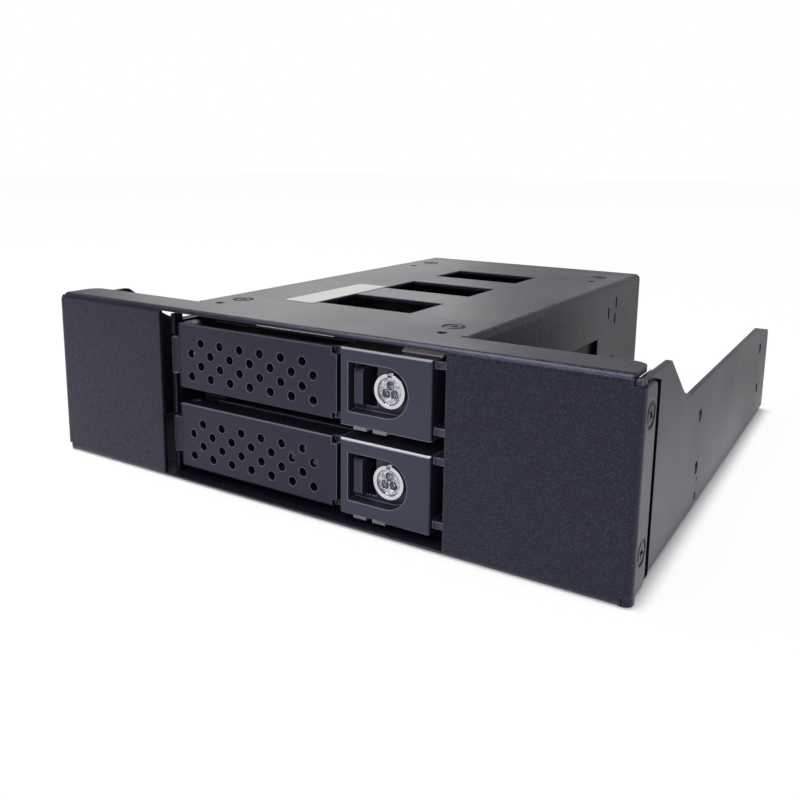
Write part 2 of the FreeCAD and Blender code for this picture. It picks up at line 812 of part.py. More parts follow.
def plug_port(name, centre_x, centre_z, width):
    """A rear header: an open shroud around an L-shaped tongue."""
    half = as_size(width) / 2
    shroud = box(name + "_shroud", (centre_x - half, board_rear, centre_z - 2.9),
                 (centre_x + half, board_rear + port_length, centre_z + 2.9))
    hollow = box(name + "_hollow", (centre_x - half + 1, board_rear + 1.5, centre_z - 1.9),
                 (centre_x + half - 1, board_rear + port_length + 1, centre_z + 1.9))
    tongue = box(name + "_tongue", (centre_x - half + 2.6, board_rear + 1, centre_z - 0.6),
                 (centre_x + half - 2.6, board_rear + port_length - 1, centre_z + 0.6))
    key = box(name + "_key", (centre_x + half - 3.8, board_rear + 1, centre_z - 1.4),
              (centre_x + half - 2.6, board_rear + port_length - 1, centre_z))
    open_shroud = take(name + "_open", shroud, hollow)
    return fuse(name, [open_shroud, tongue, key])


def backplane_parts():
    backplane_board()
    drive_socket("lower_drive_socket", lower_z)
    drive_socket("upper_drive_socket", upper_z)
    node("data_ports", [plug_port("data_port_low", data_port_x, lower_z + 7, 14.6),
                        plug_port("data_port_high", data_port_x, upper_z + 7, 14.6)])
    power = plug_port("power_header", power_port_x, lower_z + 12, 23.0)
    node("power_port", [power])

    # electrolytic capacitors behind the board, and the indicator lamps in front of it
    caps = [cylinder(f"capacitor_{i}", (as_size(24.5), board_rear, lower_z + 24 + 8 * i), "+Y", 3, 5.4)
            for i in range(2)]
    node("capacitors", caps)
    lamps = []
    for base in (lower_z, upper_z):
        for x in (pipe_x, pipe_x + pipe_width + pipe_space):
            lamps.append(box(f"lamp_{len(lamps)}", (x + 0.8, board_front - 0.8, base - 0.7),
                             (x + pipe_width - 0.8, board_front, base + 0.1)))
    node("indicator_lamps", lamps)


pipe_x = size("pipe_x", 15.2)
pipe_width = size("pipe_width", 3.2)
pipe_space = size("pipe_space", 1.5)
pipe_height = size("pipe_height", 0.8)


# ---------------------------------------------------------------- screws and nuts
def flat_screw(name, point, along, length):
    """A countersunk screw: point is in the middle of its head's face, along is the way it goes in."""
    opposite = ("-" if along[0] == "+" else "+") + along[1]
    step = 1 if along[0] == "+" else -1
    deep = list(point)
    index = "XYZ".index(along[1])
    deep[index] = as_size(point[index]) + sink * step
    far = list(point)
    far[index] = as_size(point[index]) + as_size(length) * step
    head = cone(name + "_head", deep, opposite, screw_hole - 0.1, sink_radius - 0.1, sink)
    shank = cylinder(name + "_shank", far, opposite, thread, as_size(length) - sink / 2)
    return fuse(name, [head, shank])


def pan_screw(name, point, along, radius, length):
    """A pan-head screw: point is under its head, along is the way it goes in."""
    opposite = ("-" if along[0] == "+" else "+") + along[1]
    step = 1 if along[0] == "+" else -1
    index = "XYZ".index(along[1])
    far = list(point)
    far[index] = as_size(point[index]) + as_size(length) * step
    head = cylinder(name + "_head", point, opposite, as_size(radius) * 1.85, as_size(radius) * 0.8)
    shank = cylinder(name + "_shank", far, opposite, radius, as_size(length) + radius)
    return fuse(name, [head, shank])


def fasteners():
    strip, nuts, top, feet, board = [], [], [], [], []
    for side, along in ((-1, "+X"), (1, "-X")):
        for z in strip_screws_z:
            tag = f"{len(strip)}"
            strip.append(flat_screw("strip_screw_" + tag, (half_frame * side, strip_screw_y, z), along, 4.6))
            start = (half_base - gauge) * side
            nut = prism("nut_body_" + tag, (start, strip_screw_y, z), along, 6, 2.9, nut_height)
            hole = cylinder("nut_hole_" + tag, (start, strip_screw_y, z), along, thread + 0.05, nut_height)
            nuts.append(take("nut_" + tag, nut, hole))
        for y in guide_screws_y:
            top.append(flat_screw(f"top_screw_{len(top)}", (guide_screw_x * side, y, frame_height), "-Z", 3.7))
        for y in foot_screws_y:
            feet.append(flat_screw(f"foot_screw_{len(feet)}", (foot_screw_x * side, y, as_size(0)), "+Z", 3.0))
        for z in (board_screw_low, board_screw_high):
            board.append(pan_screw(f"board_screw_{len(board)}", (board_screw_x * side, board_rear, z), "-Y",
                                   thread, 4.4))
    node("strip_screws", strip)
    node("clinch_nuts", nuts)
    node("top_screws", top)
    node("foot_screws", feet)
    node("board_screws", board)


# ---------------------------------------------------------------- one drive tray
wall = size("moulding", 1.4)
tray_left = pin_x - 1.9
back_front = front + lever_depth + 1.2
web_rear = front + size("web_depth", 8.0)
pocket_floor = front + face_setback + pocket_depth
block_rear = front + block_depth
boss_x = [size("boss_left", -28.0), size("boss_right", 30.2)]
boss_z = size("boss_height", 4.2)
lock_height = face_height / 2 + 0.05


def rims_room(s, base):
    right = pin_x + 4.8
    rectangle(s, tray_left - 1, right, base - 1, base + 1.75)
    rectangle(s, tray_left - 1, right, base + face_height - 1.75, base + face_height + 1)


def tray_front(prefix, base):
    """The moulded front: hinge ears and a vented wall behind the lever, and the lock block."""
    made = body(prefix + "tray_front")
    top = base + face_height
    lock_z = base + lock_height
    pad(made, "XZ", back_front, block_rear, lambda s: rectangle(s, tray_left, block_right, base, top))
    pad(made, "XZ", front + face_setback, block_rear,
        lambda s: rectangle(s, block_left, block_right, base, top))
    cut(made, "XZ", back_front + wall, block_rear + 1,
        lambda s: rectangle(s, tray_left + wall, block_left - wall / 2, base + wall, top - wall))
    cut(made, "XZ", web_rear, block_rear + 1,
        lambda s: rectangle(s, block_left + wall, block_right - wall, base + wall, top - wall))
    vent = cut(made, "XZ", back_front - 1, back_front + wall + 0.5,
               lambda s: rectangle(s, -24.5, as_size(-24.5) + vent_width, base + 3.2, top - 3.2))
    repeat(made, vent, "X", vent_width + 1.8, 3)

    # hinge ears
    reach = pin_radius + 0.7
    for low, high in ((1.9, 3.9), (face_height - 3.9, face_height - 1.9)):
        low, high = base + low, base + high
        pad(made, "XY", low, high, lambda s: circle(s, pin_x, front + pin_y, reach))
        pad(made, "XY", low, high,
            lambda s: rectangle(s, pin_x - reach, pin_x + reach, front + pin_y, back_front + 0.5))
        cut(made, "XY", low - 0.1, high + 0.1, lambda s: circle(s, pin_x, front + pin_y, pin_radius + 0.02))

    # room for the lever's rims, which swing back past the wall's end
    cut(made, "XZ", back_front - 1, front + 9.8, lambda s: rims_room(s, base))

    # the D-shaped pocket, the lock's bore and the latch's slots
    pocket_z = pocket_radius
    cut(made, "XZ", front, pocket_floor,
        lambda s: rectangle(s, pocket_left, lock_x, lock_z - pocket_z, lock_z + pocket_z))
    cut(made, "XZ", front, pocket_floor, lambda s: circle(s, lock_x, lock_z, pocket_radius))
    cut(made, "XZ", front, web_rear + 0.1, lambda s: circle(s, lock_x, lock_z, ring_radius + 0.02))
    slot_right = latch_left + latch_width + latch_travel + 0.2
    cut(made, "XZ", pocket_floor - 0.1, web_rear + 0.1,
        lambda s: rectangle(s, latch_left - 0.2, slot_right,
                            lock_z - latch_height / 2 - 0.2, lock_z + latch_height / 2 + 0.2))
    cut(made, "XZ", front + nose_front - 0.2, front + nose_front + nose_depth + 0.2,
        lambda s: rectangle(s, block_left - 1, latch_left, lock_z - nose_half - 0.25,
                            lock_z + nose_half + 0.25))

    # spring seat for the latch, screw bosses, runner lugs on the right, groove for the light pipes
    pad(made, "XZ", web_rear - 0.5, web_rear + 2.8,
        lambda s: rectangle(s, spring_right, spring_right + 1.2, base + wall - 0.2, base + spring_z + 1.5))
    for x in boss_x:
        start = back_front if x.value < 0 else web_rear - 0.5
        pad(made, "XZ", start, block_rear, lambda s: circle(s, x, base + boss_z, 2.3))
        cut(made, "XZ", block_rear - 3.4, block_rear + 1, lambda s: circle(s, x, base + boss_z, 1.1))
    for low, high in ((1.2, 2.7), (face_height - 1.8, face_height - 0.3)):
        pad(made, "XZ", front + face_setback + 1.2, front + block_depth - 3,
            lambda s: rectangle(s, block_right - 0.5, inner_cage - play, base + low, base + high))
    pipes_right = pipe_x + pipe_width * 2 + pipe_space
    cut(made, "XZ", front, block_rear + 1,
        lambda s: rectangle(s, pipe_x - 0.2, pipes_right + 0.2, base - 1, base + 0.15))
    face = front + face_setback
    round_edges(made, edge_round, lambda p: near(p.y, face) and (near(p.x, block_left) or near(p.z, top)
                                                                 or near(p.x, block_right)))


nose_front = size("nose_front", 4.9)
nose_depth = size("nose_depth", 1.5)
nose_half = size("nose_half", 2.0)
nose_tip = size("nose_tip", 9.3)
spring_right = size("spring_right", 21.4)
spring_z = size("spring_z", 2.9)
spring_left = size("spring_left", 16.4)


def sled(prefix, base):
    """The sheet-metal sled that carries the drive between two side rails."""
    made = body(prefix + "sled")
    low = base - sled_below
    floor = low + sled_gauge
    inside = half_sled - sled_gauge
    top = low + rail_height
    tail = drive_rear - 1

    def u_profile(s):
        outline(s, [(-half_sled, low), (half_sled, low), (half_sled, top), (inside, top),
                    (inside, floor), (-inside, floor), (-inside, top), (-half_sled, top)])

    pad(made, "XZ", block_rear, tail, u_profile)
    round_edges(made, sled_gauge + 0.3, lambda p: near(abs(p.x), half_sled) and near(p.z, low))
    round_edges(made, 0.3, lambda p: near(abs(p.x), inside) and near(p.z, floor))
    pad(made, "XZ", block_rear, block_rear + sled_gauge,
        lambda s: rectangle(s, tray_left + 0.5, block_right - 0.4, low + sled_gauge / 2, base + 13.0))
    for left, right in ((-24.4, 10.0), (13.6, 27.4)):
        cut(made, "XZ", block_rear - 1, block_rear + sled_gauge + 0.5,
            lambda s: rectangle(s, left, right, base + 2.4, base + 14))
    cut(made, "XZ", block_rear - 1, block_rear + sled_gauge + 0.5,
        lambda s: rectangle(s, pipe_x - 0.2, pipe_x + pipe_width * 2 + pipe_space + 0.2, floor, base + 0.4))
    for x in boss_x:
        cut(made, "XZ", block_rear - 1, block_rear + sled_gauge + 0.5,
            lambda s: circle(s, x, base + boss_z, 1.25))

    # floor windows, lowered rails between the ends, drive screw holes
    for start, length in ((9.0, 33.0), (50.0, 40.0)):
        cut(made, "XY", low - 1, floor + 1,
            lambda s: rectangle(s, -26.0, 12.5, block_rear + start, block_rear + start + length))
    rail_low = floor + rail_notch
    cut(made, "YZ", -half_sled - 1, half_sled + 1,
        lambda s: outline(s, [(block_rear + 22, top + 1), (block_rear + 28, rail_low),
                              (tail - 30, rail_low), (tail - 24, top + 1)]))
    for back in (14.0, 90.6):
        cut(made, "YZ", -half_sled - 1, half_sled + 1,
            lambda s: circle(s, drive_rear - back, base + 3.3, bay_hole))
    round_edges(made, 1.5, lambda p: near(p.y, tail) and near(p.z, top))


def lever(prefix, base):
    """The perforated swing lever: a hollow-backed front with ears on the hinge pin."""
    made = body(prefix + "lever")
    face = front + lever_setback
    low = base + lever_margin
    high = base + face_height - lever_margin
    back = front + lever_depth + 0.8
    pad(made, "XY", low, high, lambda s: rectangle(s, -lever_left, lever_right, face, back))
    round_edges(made, 2.0, lambda p: near(p.x, -lever_left))
    cut(made, "XZ", face + lever_plate, back + 1,
        lambda s: rectangle(s, -lever_left - 1, lever_right - lever_wall, low + lever_wall, high - lever_wall))
    pad(made, "XZ", face + 0.1, face + lever_plate,
        lambda s: rectangle(s, -lever_left - lever_tab, -lever_left + 1.5,
                            base + lever_tab_low, base + lever_tab_high))
    for start, end in ((low, low + 1.5), (high - 1.5, high)):
        cut(made, "XZ", face - 1, face + lever_plate + 0.1,
            lambda s: rectangle(s, lever_right - 1.3, lever_right + 1, start, end))
    lock_z = base + lock_height
    cut(made, "XZ", front + nose_front - 0.3, front + nose_front + nose_depth + 0.3,
        lambda s: rectangle(s, lever_right - lever_wall - 0.5, lever_right + 1,
                            lock_z - nose_half - 0.35, lock_z + nose_half + 0.35))
    cut(made, "XY", low - 1, high + 1, lambda s: circle(s, pin_x, front + pin_y, pin_radius + 0.06))

    # perforations: four staggered rows
    top_row = base + top_row_height
    for row in range(4):
        short = row % 2 == 0
        x = first_hole if short else first_hole - perforation_pitch / 2
        z = top_row - perforation_row * row
        hole = cut(made, "XZ", face - 1, face + lever_plate + 0.3, lambda s: circle(s, x, z, perforation))
        repeat(made, hole, "X", perforation_pitch, 6 if short else 7)
    round_edges(made, 0.4, lambda p: near(p.y, face) and (near(p.z, low) or near(p.z, high))
                and p.x > -lever_left.value + 1)


def coil(label, start, along, hollow, wire, length):
    """A close-wound coil, kept as the tube that its turns make."""
    outside = cylinder(label + "_turns", start, along, as_size(hollow) + wire * 2, length)
    inside = cylinder(label + "_inside", start, along, hollow, length)
    return take(label, outside, inside)


def latch(prefix, base):
    """The sliding latch: a thumb bar in the pocket, a plate behind it and a nose into the lever."""
    made = body(prefix + "latch")
    lock_z = base + lock_height
    half = latch_height / 2
    plate_front = web_rear + 0.3
    pad(made, "XZ", front + 2.4, plate_front + 0.5,
        lambda s: rectangle(s, latch_left, latch_left + latch_width, lock_z - half, lock_z + half))
    round_edges(made, 0.9, lambda p: near(p.y, front + 2.4)
                and (near(p.z, lock_z - half) or near(p.z, lock_z + half)))
    pad(made, "XZ", plate_front, plate_front + 1.6,
        lambda s: rectangle(s, block_left + wall + 0.3, latch_left + latch_width + 0.9,
                            lock_z - half, lock_z + half))
    pad(made, "XZ", plate_front, plate_front + 1.6,
        lambda s: rectangle(s, spring_left - 1.4, spring_left, base + spring_z - 1.2, lock_z - half + 0.5))
    pad(made, "XZ", front + nose_front, front + nose_front + nose_depth,
        lambda s: rectangle(s, nose_tip, latch_left + 0.5, lock_z - nose_half, lock_z + nose_half))
    round_edges(made, 0.6, lambda p: near(p.x, nose_tip) and near(p.y, front + nose_front + nose_depth),
                "Chamfer")


def lock(prefix, base):
    """Key lock: a bright ring in the block, a barrel that turns in it, and a cam behind."""
    lock_z = base + lock_height
    ring_front = front + 3.0
    ring = cylinder(prefix + "ring_body", (lock_x, ring_front, lock_z), "+Y", ring_radius, web_rear - ring_front)
    bore = cylinder(prefix + "ring_bore", (lock_x, ring_front - 1, lock_z), "+Y", barrel_radius + 0.06,
                    web_rear - ring_front + 2)
    mark = box(prefix + "ring_mark", (lock_x - 0.5, ring_front - 1, lock_z + barrel_radius - 0.5),
               (lock_x + 0.5, ring_front + 1, lock_z + ring_radius + 1))
    open_ring = take(prefix + "ring_open", ring, bore)
    node(prefix + "lock_ring", [take(prefix + "ring", open_ring, mark)])

    barrel_front = ring_front + 0.4
    barrel = body(prefix + "lock_barrel")
    plate_front = web_rear + 0.3
    pad(barrel, "XZ", barrel_front, plate_front, lambda s: circle(s, lock_x, lock_z, barrel_radius))
    pad(barrel, "XZ", plate_front - 0.1, plate_front + 2.4, lambda s: circle(s, lock_x, lock_z, 1.5))
    for angle in (90, 210, 330):
        x = math.cos(math.radians(angle)) * 1.15
        z = math.sin(math.radians(angle)) * 1.15
        cut(barrel, "XZ", barrel_front - 1, barrel_front + 1.6,
            lambda s: circle(s, lock_x + x, lock_z + z, 0.95))
    cam = body(prefix + "lock_cam")
    pad(cam, "XZ", plate_front + 0.1, plate_front + 1.5, lambda s: circle(s, lock_x, lock_z, 2.4))
    pad(cam, "XZ", plate_front + 0.1, plate_front + 1.5,
        lambda s: rectangle(s, lock_x - 1.6, lock_x + 1.6, lock_z, lock_z + 4.7))
    cut(cam, "XZ", plate_front, plate_front + 2, lambda s: circle(s, lock_x, lock_z, 1.52))


def tray(prefix, base):
    tray_front(prefix, base)
    sled(prefix, base)
    lever(prefix, base)
    pin = cylinder(prefix + "hinge_pin", (pin_x, front + pin_y, base + lever_margin + 0.1), "+Z",
                   pin_radius, face_height - (lever_margin + 0.1) * 2)
    node(prefix + "hinge_pin", [pin])
    turns = coil(prefix + "lever_coil", (pin_x, front + pin_y, base + 4.4), "+Z", pin_radius + 0.1, 0.25, 7.4)
    legs = [box(prefix + "leg_low", (pin_x, front + pin_y + 1.0, base + 4.5),
                (pin_x + 5, front + pin_y + 1.4, base + 4.9)),
            box(prefix + "leg_high", (pin_x + 1.0, front + pin_y - 1.4, base + 11.2),
                (pin_x + 6, front + pin_y - 1.0, base + 11.6))]
    node(prefix + "lever_spring", [fuse(prefix + "lever_spring_body", [turns] + legs)])
    latch(prefix, base)
    node(prefix + "latch_spring", [coil(prefix + "latch_coil", (spring_left, web_rear + 1.2, base + spring_z),
                                        "+X", 0.5, 0.2, spring_right - spring_left)])
    lock(prefix, base)
    pipes = []
    for x in (pipe_x, pipe_x + pipe_width + pipe_space):
        pipes.append(box(f"{prefix}pipe_{len(pipes)}", (x, front + face_setback + 0.3, base - 0.7),
                         (x + pipe_width, drive_rear - 1, base - 0.7 + pipe_height)))
    node(prefix + "light_pipes", pipes)
    screws = [pan_screw(f"{prefix}front_screw_{i}", (x, block_rear + sled_gauge, base + boss_z), "-Y",
                        front_thread, 3.6)
              for i, x in enumerate(boss_x)]
    node(prefix + "front_screws", screws)


# ---------------------------------------------------------------- build, check, write
front_cover()
base_tray()
divider_shelf()
guide("guide_left", -1)
guide("guide_right", 1)
ground_spring()
backplane_parts()
fasteners()
tray("lower_", lower_z)
tray("upper_", upper_z)
doc.recompute()

for thing in doc.Objects:
    if "Invalid" in thing.State or "Error" in thing.State:
        raise RuntimeError(f"{thing.Name} failed: {thing.State}")
os.makedirs("parts", exist_ok=True)
for made in nodes:
    shape = made.Shape
    if shape.isNull() or not shape.isValid() or not shape.Solids:
        raise RuntimeError(f"{made.Label} has no valid solid")
    shape.exportStep(f"parts/{made.Label}.step")
    print(f"{made.Label}: {len(shape.Solids)} solid, {shape.Volume:.1f} mm3")
print(len(nodes), "nodes")
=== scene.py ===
# %% [markdown]
# # A hot swap drive cage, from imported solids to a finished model
#
# The cage is folded from black powder-coated sheet steel and holds two pull-out trays. Its solids
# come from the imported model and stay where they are. What this file adds is what a maker would see
# on the bench: the grain of the coating, soft edges on mouldings, cross recesses in the screws,
# wound springs, and the small parts on the circuit board.

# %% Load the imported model
import math

import bmesh
import bpy
from mathutils import Matrix, Vector


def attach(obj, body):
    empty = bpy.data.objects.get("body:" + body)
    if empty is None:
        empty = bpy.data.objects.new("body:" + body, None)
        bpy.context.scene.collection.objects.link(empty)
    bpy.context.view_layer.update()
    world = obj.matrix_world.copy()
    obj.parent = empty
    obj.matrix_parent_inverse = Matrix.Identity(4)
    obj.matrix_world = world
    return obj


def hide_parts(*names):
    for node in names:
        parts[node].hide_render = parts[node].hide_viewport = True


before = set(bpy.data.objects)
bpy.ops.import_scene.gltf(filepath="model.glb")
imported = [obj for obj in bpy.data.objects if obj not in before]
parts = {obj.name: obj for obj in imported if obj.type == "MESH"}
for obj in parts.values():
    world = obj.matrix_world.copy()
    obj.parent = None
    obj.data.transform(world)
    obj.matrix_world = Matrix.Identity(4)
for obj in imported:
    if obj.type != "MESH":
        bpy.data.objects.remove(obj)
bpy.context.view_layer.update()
MM = 0.001

# %% [markdown]
# ## The camera
#
# A camera is a place, two turns and a lens. The cage is seen from its right, a little above its
# roof, from close by, so the lens is long enough to keep the near panel from bulging. The small
# shift keeps the upright edges almost parallel, as a view camera does, without tilting it down.

# %% Camera
EYE = Vector((108.1, -203.2, 75.0)) * MM
AZIMUTH, ELEVATION, ROLL = math.radians(31.34), math.radians(10.58), math.radians(0.83)
SENSOR = 36.0  # width, mm
FOCAL_SHARE = 1.041375  # focal length over the sensor's width
SHIFT = (-0.0044, -0.1044)


def placed(name, data):
    """An object that shows this data, linked into the scene."""
    made = bpy.data.objects.new(name, data)
    bpy.context.scene.collection.objects.link(made)
    return made


def view_axes():
    """Right, up and forward of the camera in the model's frame."""
    forward = Vector((-math.sin(AZIMUTH) * math.cos(ELEVATION),
                      math.cos(AZIMUTH) * math.cos(ELEVATION), -math.sin(ELEVATION)))
    level = Vector((math.cos(AZIMUTH), math.sin(AZIMUTH), 0))
    upright = level.cross(forward)
    right = level * math.cos(ROLL) + upright * math.sin(ROLL)
    up = upright * math.cos(ROLL) - level * math.sin(ROLL)
    return right, up, forward


right, up, forward = view_axes()
lens = bpy.data.cameras.new("view")
lens.sensor_width = SENSOR
lens.lens = SENSOR * FOCAL_SHARE
lens.shift_x, lens.shift_y = SHIFT
lens.clip_start, lens.clip_end = 0.01, 20.0
camera = placed("view", lens)
turn = Matrix((right, up, -forward)).transposed()
camera.matrix_world = Matrix.Translation(EYE) @ turn.to_4x4()
bpy.context.scene.camera = camera
print("lens, mm:", round(lens.lens, 1))

# %% [markdown]
# ## Helpers for node trees
#
# Materials and Geometry Nodes are both graphs. A few short helpers keep the graphs readable: one
# makes a node and sets its plain values, one wires one socket to the next, and two make the nodes
# that are needed most, for arithmetic and for turning one range of values into another. A group
# has named sockets, which are made on its interface, and a colour is written as on a paint card.


# %% Node helpers
FLOAT, VECTOR = "NodeSocketFloat", "NodeSocketVector"
TYPES = {float: FLOAT, tuple: VECTOR, int: "NodeSocketInt", bool: "NodeSocketBool"}


def add(tree, kind, at=(0, 0), **values):
    """A node of this kind; a value goes to a property, or to the input of that name.

    in0, in1 and so on name an input by its place, for inputs that share a name.
    """
    node = tree.nodes.new(kind)
    node.location = at
    for name, value in values.items():
        if hasattr(node, name):
            setattr(node, name, value)
        elif name[:2] == "in":
            node.inputs[int(name[2:])].default_value = value
        else:
            node.inputs[name.replace("_", " ")].default_value = value
    return node


def calc(tree, operation, at, clamp=False, **values):
    """One step of arithmetic; in0 and in1 are its plain numbers."""
    return add(tree, "ShaderNodeMath", at, operation=operation, use_clamp=clamp, **values)


def ramp(tree, at, start, stop, low=0.0, high=1.0, smooth=False):
    """Values from start to stop become low to high, and stay there beyond."""
    return add(tree, "ShaderNodeMapRange", at, clamp=True, From_Min=start, From_Max=stop,
               To_Min=low, To_Max=high, interpolation_type="SMOOTHSTEP" if smooth else "LINEAR")


def wire(tree, *pairs):
    """Joins outputs to inputs: (from_node, 'Output', to_node, 'Input')."""
    for source, out, target, into in pairs:
        tree.links.new(source.outputs[out], target.inputs[into])


print("socket types:", len(TYPES))


# %% Groups and colours
def new_group(name, kind, inputs, outputs):
    """A node group with named sockets; an input has a default or, given as text, only a type."""
    tree = bpy.data.node_groups.new(name, kind)
    for label, value in inputs.items():
        bare = isinstance(value, str)
        made = tree.interface.new_socket(label, in_out="INPUT",
                                         socket_type=value if bare else TYPES[type(value)])
        if not bare:
            made.default_value = value
    for label, socket in outputs.items():
        tree.interface.new_socket(label, in_out="OUTPUT", socket_type=socket)
    start, end = add(tree, "NodeGroupInput", (-900, 0)), add(tree, "NodeGroupOutput", (900, 0))
    return tree, start, end


def shade(red, green, blue):
    """A colour as a paint card shows it, 0 to 255, turned into the linear values of a shader."""
    def linear(level):
        level /= 255
        return level / 12.92 if level <= 0.04045 else ((level + 0.055) / 1.055) ** 2.4
    return (linear(red), linear(green), linear(blue), 1.0)


print("the coating's colour, linear:", [round(c, 4) for c in shade(18, 18, 27)[:3]])

# %% [markdown]
# ## Shared effects
#
# Real surfaces have the same few effects at different strengths, so each is a node group that is
# built once. `soft_edges` turns the normal near an edge, as a small radius does, and gives a mask
# of where the edges are and one of where a round edge looks up and to the front, where a finish
# paints a highlight in a light colour.
# `grain` is a fine texture in the surface: powder that has flowed into tiny hills, or the
# spark-eroded skin of a moulding tool. `flakes` scatters the bright specks that a structured
# powder coat has. `dust` settles where the surface looks up. All of them could be painted on
# unwrapped pieces; noise in object coordinates needs no unwrapping and has one scale everywhere.


# %% Group: soft edges
def make_soft_edges():
    tree, start, end = new_group("soft_edges", "ShaderNodeTree",
                                 {"Radius": 0.0003, "Reach": 1.0},
                                 {"Normal": VECTOR, "Edge": FLOAT, "Painted Highlight": FLOAT})
    bevel = add(tree, "ShaderNodeBevel", (-500, 0), samples=8)
    face = add(tree, "ShaderNodeNewGeometry", (-500, -300))
    dot = add(tree, "ShaderNodeVectorMath", (-200, -150), operation="DOT_PRODUCT")
    turned = ramp(tree, (100, -150), 0.995, 0.80)  # from a slight turn to a strong one
    scale = calc(tree, "MULTIPLY", (400, -150), clamp=True)
    wire(tree, (start, "Radius", bevel, "Radius"), (bevel, "Normal", dot, 0),
         (face, "True Normal", dot, 1), (dot, "Value", turned, "Value"),
         (turned, "Result", scale, 0), (start, "Reach", scale, 1),
         (bevel, "Normal", end, "Normal"), (scale, "Value", end, "Edge"))
    # where a round edge faces up and to the front: the mask for a painted highlight
    own = add(tree, "ShaderNodeTexCoord", (-500, -550))
    axes = add(tree, "ShaderNodeSeparateXYZ", (-300, -550))
    # -2.2 makes it full once the edge leans 27 degrees to the front
    ahead = calc(tree, "MULTIPLY", (-100, -500), clamp=True, in1=-2.2)
    painted_highlight = calc(tree, "MULTIPLY", (100, -550), clamp=True)
    wire(tree, (own, "Normal", axes, "Vector"), (axes, "Y", ahead, 0), (ahead, "Value", painted_highlight, 0),
         (axes, "Z", painted_highlight, 1), (painted_highlight, "Value", end, "Painted Highlight"))
    return tree


soft_edges = make_soft_edges()
print("group", soft_edges.name)


# %% Group: grain
def make_grain():
    tree, start, end = new_group("grain", "ShaderNodeTree",
                                 {"Size": 0.0004, "Depth": 0.00002, "Stretch": (1, 1, 1),
                                  "Normal": VECTOR}, {"Normal": VECTOR})
    place = add(tree, "ShaderNodeTexCoord", (-900, -300))
    scale = calc(tree, "DIVIDE", (-700, 200), in0=1.0)
    stretch = add(tree, "ShaderNodeVectorMath", (-600, -200), operation="MULTIPLY")
    fine = add(tree, "ShaderNodeTexNoise", (-300, 100), Detail=3.0, Roughness=0.6)
    third = calc(tree, "MULTIPLY", (-500, 300), in1=0.31)
    broad = add(tree, "ShaderNodeTexNoise", (-300, 350), Detail=2.0)
    both = calc(tree, "ADD", (0, 200))
    bump = add(tree, "ShaderNodeBump", (400, 0), Strength=1.0)
    wire(tree, (start, "Size", scale, 1), (place, "Object", stretch, 0),
         (start, "Stretch", stretch, 1), (stretch, "Vector", fine, "Vector"),
         (scale, "Value", fine, "Scale"), (scale, "Value", third, 0),
         (third, "Value", broad, "Scale"), (stretch, "Vector", broad, "Vector"),
         (fine, "Fac", both, 0), (broad, "Fac", both, 1), (both, "Value", bump, "Height"),
         (start, "Depth", bump, "Distance"), (start, "Normal", bump, "Normal"),
         (bump, "Normal", end, "Normal"))
    return tree


grain = make_grain()
print("group", grain.name)


# %% Group: flakes
def make_flakes():
    tree, start, end = new_group("flakes", "ShaderNodeTree",
                                 {"Size": 0.0004, "Share": 0.08, "Dot": 0.32},
                                 {"Mask": FLOAT, "Faint": FLOAT})
    place = add(tree, "ShaderNodeTexCoord", (-700, -200))
    scale = calc(tree, "DIVIDE", (-700, 200), in0=1.0)
    cells = add(tree, "ShaderNodeTexVoronoi", (-400, 0), feature="F1")
    split = add(tree, "ShaderNodeSeparateColor", (-150, 100))
    few = calc(tree, "LESS_THAN", (100, 100))
    near = calc(tree, "LESS_THAN", (100, -150))
    mask = calc(tree, "MULTIPLY", (350, 0))
    fainter = calc(tree, "MULTIPLY", (550, 0))
    wire(tree, (start, "Size", scale, 1), (place, "Object", cells, "Vector"),
         (scale, "Value", cells, "Scale"), (cells, "Color", split, "Color"),
         (split, "Red", few, 0), (start, "Share", few, 1), (cells, "Distance", near, 0),
         (start, "Dot", near, 1), (few, "Value", mask, 0), (near, "Value", mask, 1),
         (mask, "Value", fainter, 0), (split, "Green", fainter, 1),
         (fainter, "Value", end, "Faint"), (mask, "Value", end, "Mask"))
    return tree


flakes = make_flakes()
print("group", flakes.name)


# %% Group: dust
def make_dust():
    tree, start, end = new_group("dust", "ShaderNodeTree",
                                 {"Amount": 0.1, "Patch": 0.012}, {"Mask": FLOAT})
    place = add(tree, "ShaderNodeTexCoord", (-900, -200))
    face = add(tree, "ShaderNodeNewGeometry", (-900, 200))
    split = add(tree, "ShaderNodeSeparateXYZ", (-700, 200))
    upward = ramp(tree, (-450, 200), 0.2, 1.0)
    scale = calc(tree, "DIVIDE", (-700, -50), in0=1.0)
    broad = add(tree, "ShaderNodeTexNoise", (-450, -50), Detail=6.0, Roughness=0.7)
    fine = add(tree, "ShaderNodeTexNoise", (-450, -350), Scale=1800.0, Detail=2.0)
    sharp = ramp(tree, (-200, -350), 0.55, 0.75)
    one = calc(tree, "MULTIPLY", (0, 0))
    two = calc(tree, "MULTIPLY", (200, 0))
    three = calc(tree, "MULTIPLY", (400, 0), clamp=True)
    wire(tree, (face, "True Normal", split, "Vector"), (split, "Z", upward, "Value"),
         (start, "Patch", scale, 1), (place, "Object", broad, "Vector"),
         (scale, "Value", broad, "Scale"), (place, "Object", fine, "Vector"),
         (fine, "Fac", sharp, "Value"), (broad, "Fac", one, 0),
         (upward, "Result", one, 1), (one, "Value", two, 0), (sharp, "Result", two, 1),
         (two, "Value", three, 0), (start, "Amount", three, 1), (three, "Value", end, "Mask"))
    return tree


dust = make_dust()
print("group", dust.name)

# %% [markdown]
# ## Materials
#
# Every finish below starts from one function, because every hard surface here has the same order
# of effects: a base colour, a broad change of tone, specks, worn edges that also carry a painted
# highlight, a painted highlight on round edges that face up and to the front, and dust, then
# roughness and a textured normal. What differs is how much of each. Numbers that are the same all
# over a surface are set on the shader itself.


# %% The common material
NOISE_SPAN = (0.3, 0.7)  # where nearly all of a noise's values lie
DUST_GREY = shade(150, 146, 140)


